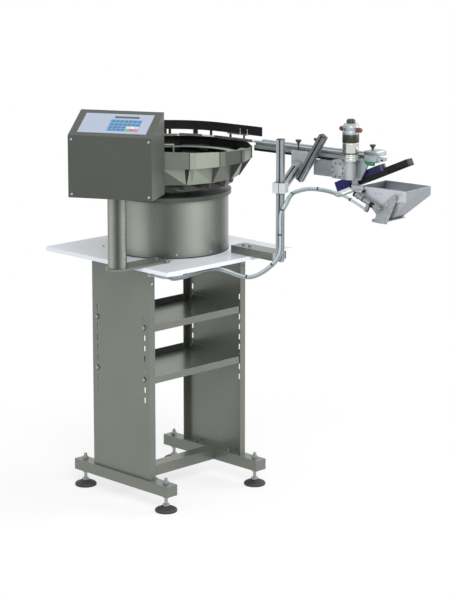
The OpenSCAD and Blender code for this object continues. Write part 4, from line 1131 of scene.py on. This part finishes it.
class FEEDER_OT_stage(bpy.types.Operator):
    """Sets the floor, the lamps and the camera"""

    bl_idname = "feeder.stage"
    bl_label = "Set Stage"

    def execute(self, context):
        scene = context.scene
        stage = scene.feeder_stage
        scene.view_settings.view_transform = "Standard"
        self.camera(scene, stage)
        self.floor(scene, stage)
        self.world(scene)
        self.lamp(scene, "key_lamp", (-2.6, -3.4, 3.9), 2.6, stage.key_power)
        self.lamp(scene, "fill_lamp", (3.4, -2.2, 2.6), 2.2, stage.fill_power)
        return {"FINISHED"}

    def camera(self, scene, stage):
        eye = bpy.data.cameras.new("camera")
        eye.sensor_width = 36
        eye.lens = stage.lens
        eye.shift_y = -0.1
        eye.clip_start, eye.clip_end = 0.5, 60
        camera = bpy.data.objects.new("camera", eye)
        scene.collection.objects.link(camera)
        heading, down = math.radians(CAMERA_HEADING), math.radians(CAMERA_DOWN)
        look = Vector((
            math.cos(heading) * math.cos(down), math.sin(heading) * math.cos(down), -math.sin(down)
        ))
        camera.location = CAMERA_PLACE
        camera.rotation_euler = look.to_track_quat("-Z", "Y").to_euler()
        scene.camera = camera

    def floor(self, scene, stage):
        shape = bmesh.new()
        bmesh.ops.create_grid(shape, x_segments=1, y_segments=1, size=40)
        mesh = bpy.data.meshes.new("floor")
        shape.to_mesh(mesh)
        shape.free()
        floor = bpy.data.objects.new("floor", mesh)
        scene.collection.objects.link(floor)
        material = bpy.data.materials.new("floor")
        material.use_nodes = True
        tree = material.node_tree
        shader = tree.nodes["Principled BSDF"]
        shader.inputs["Roughness"].default_value = 0.9
        shader.inputs["Base Color"].default_value = (*stage.floor, 1)
        away = vector_math(tree, "LENGTH", object_place(tree))
        far = remap(tree, away, 0.6, 1.6, 0.72, 1.0, interpolation_type="SMOOTHSTEP")
        share = calculate(tree, "MULTIPLY", far, self.seen_rays(tree))
        white = add_node(tree, "ShaderNodeEmission", {"Color": (1, 1, 1, 1), "Strength": 1.0})
        mixed = add_node(
            tree, "ShaderNodeMixShader", {0: share, 1: shader.outputs[0], 2: white.outputs[0]}
        )
        tree.links.new(mixed.outputs[0], tree.nodes["Material Output"].inputs["Surface"])
        mesh.materials.append(material)

    def seen_rays(self, tree):
        """1 for rays that show the background, straight or in metal and glass"""
        path = add_node(tree, "ShaderNodeLightPath")
        seen = path.outputs["Is Camera Ray"]
        for kind in ("Is Glossy Ray", "Is Transmission Ray"):
            seen = calculate(tree, "MAXIMUM", seen, path.outputs[kind])
        return seen

    def world(self, scene):
        world = bpy.data.worlds.new("studio")
        world.use_nodes = True
        tree = world.node_tree
        tree.nodes.clear()
        place = add_node(tree, "ShaderNodeTexCoord").outputs["Generated"]
        left = vector_math(tree, "DOT_PRODUCT", place, SKY_LEFT)
        strength = remap(tree, left, -0.7, 0.9, 0.3, 0.8)
        plain = add_node(tree, "ShaderNodeBackground", {"Color": (1, 1, 1, 1), "Strength": strength})
        white = add_node(tree, "ShaderNodeBackground", {"Color": (1, 1, 1, 1), "Strength": 1.0})
        mix = add_node(
            tree, "ShaderNodeMixShader",
            {0: self.seen_rays(tree), 1: plain.outputs[0], 2: white.outputs[0]},
        )
        out = add_node(tree, "ShaderNodeOutputWorld", {"Surface": mix.outputs[0]})
        out.is_active_output = True
        scene.world = world

    def lamp(self, scene, name, place, size, power):
        light = bpy.data.lights.new(name, "AREA")
        light.shape = "SQUARE"
        light.size = size
        light.energy = power
        lamp = bpy.data.objects.new(name, light)
        lamp.location = place
        lamp.rotation_euler = (Vector(LAMP_AIM) - Vector(place)).to_track_quat("-Z", "Y").to_euler()
        scene.collection.objects.link(lamp)


class FEEDER_PT_panel(bpy.types.Panel):
    bl_idname = "FEEDER_PT_panel"
    bl_label = "Bowl Feeder"
    bl_space_type = "VIEW_3D"
    bl_region_type = "UI"
    bl_category = "Bowl Feeder"

    def draw(self, context):
        for operator in OPERATORS:
            self.layout.operator(operator.bl_idname)
        for group in ("feeder_finishes", "feeder_sizes", "feeder_stage"):
            box = self.layout.box()
            settings = getattr(context.scene, group)
            for name in settings.bl_rna.properties.keys():
                if name not in ("rna_type", "name"):
                    box.prop(settings, name)


GROUPS = {
    "feeder_finishes": FeederFinishes,
    "feeder_sizes": FeederSizes,
    "feeder_stage": FeederStage,
}
OPERATORS = [
    FEEDER_OT_stage, FEEDER_OT_hoses, FEEDER_OT_stand, FEEDER_OT_drive, FEEDER_OT_bowl,
    FEEDER_OT_box, FEEDER_OT_support, FEEDER_OT_track, FEEDER_OT_belt, FEEDER_OT_hopper,
]


def register():
    for kind in [*GROUPS.values(), *OPERATORS, FEEDER_PT_panel]:
        bpy.utils.register_class(kind)
    for name, kind in GROUPS.items():
        setattr(bpy.types.Scene, name, PointerProperty(type=kind))


def unregister():
    for name in GROUPS:
        delattr(bpy.types.Scene, name)
    for kind in reversed([*GROUPS.values(), *OPERATORS, FEEDER_PT_panel]):
        bpy.utils.unregister_class(kind)


def main():
    register()
    bpy.ops.feeder.stage()
    bpy.ops.feeder.hoses()
    bpy.ops.feeder.stand()
    bpy.ops.feeder.drive()
    bpy.ops.feeder.bowl()
    bpy.ops.feeder.box()
    bpy.ops.feeder.support()
    bpy.ops.feeder.track()
    bpy.ops.feeder.belt()
    bpy.ops.feeder.hopper()
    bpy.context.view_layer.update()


if __name__ == "__main__":
    main()
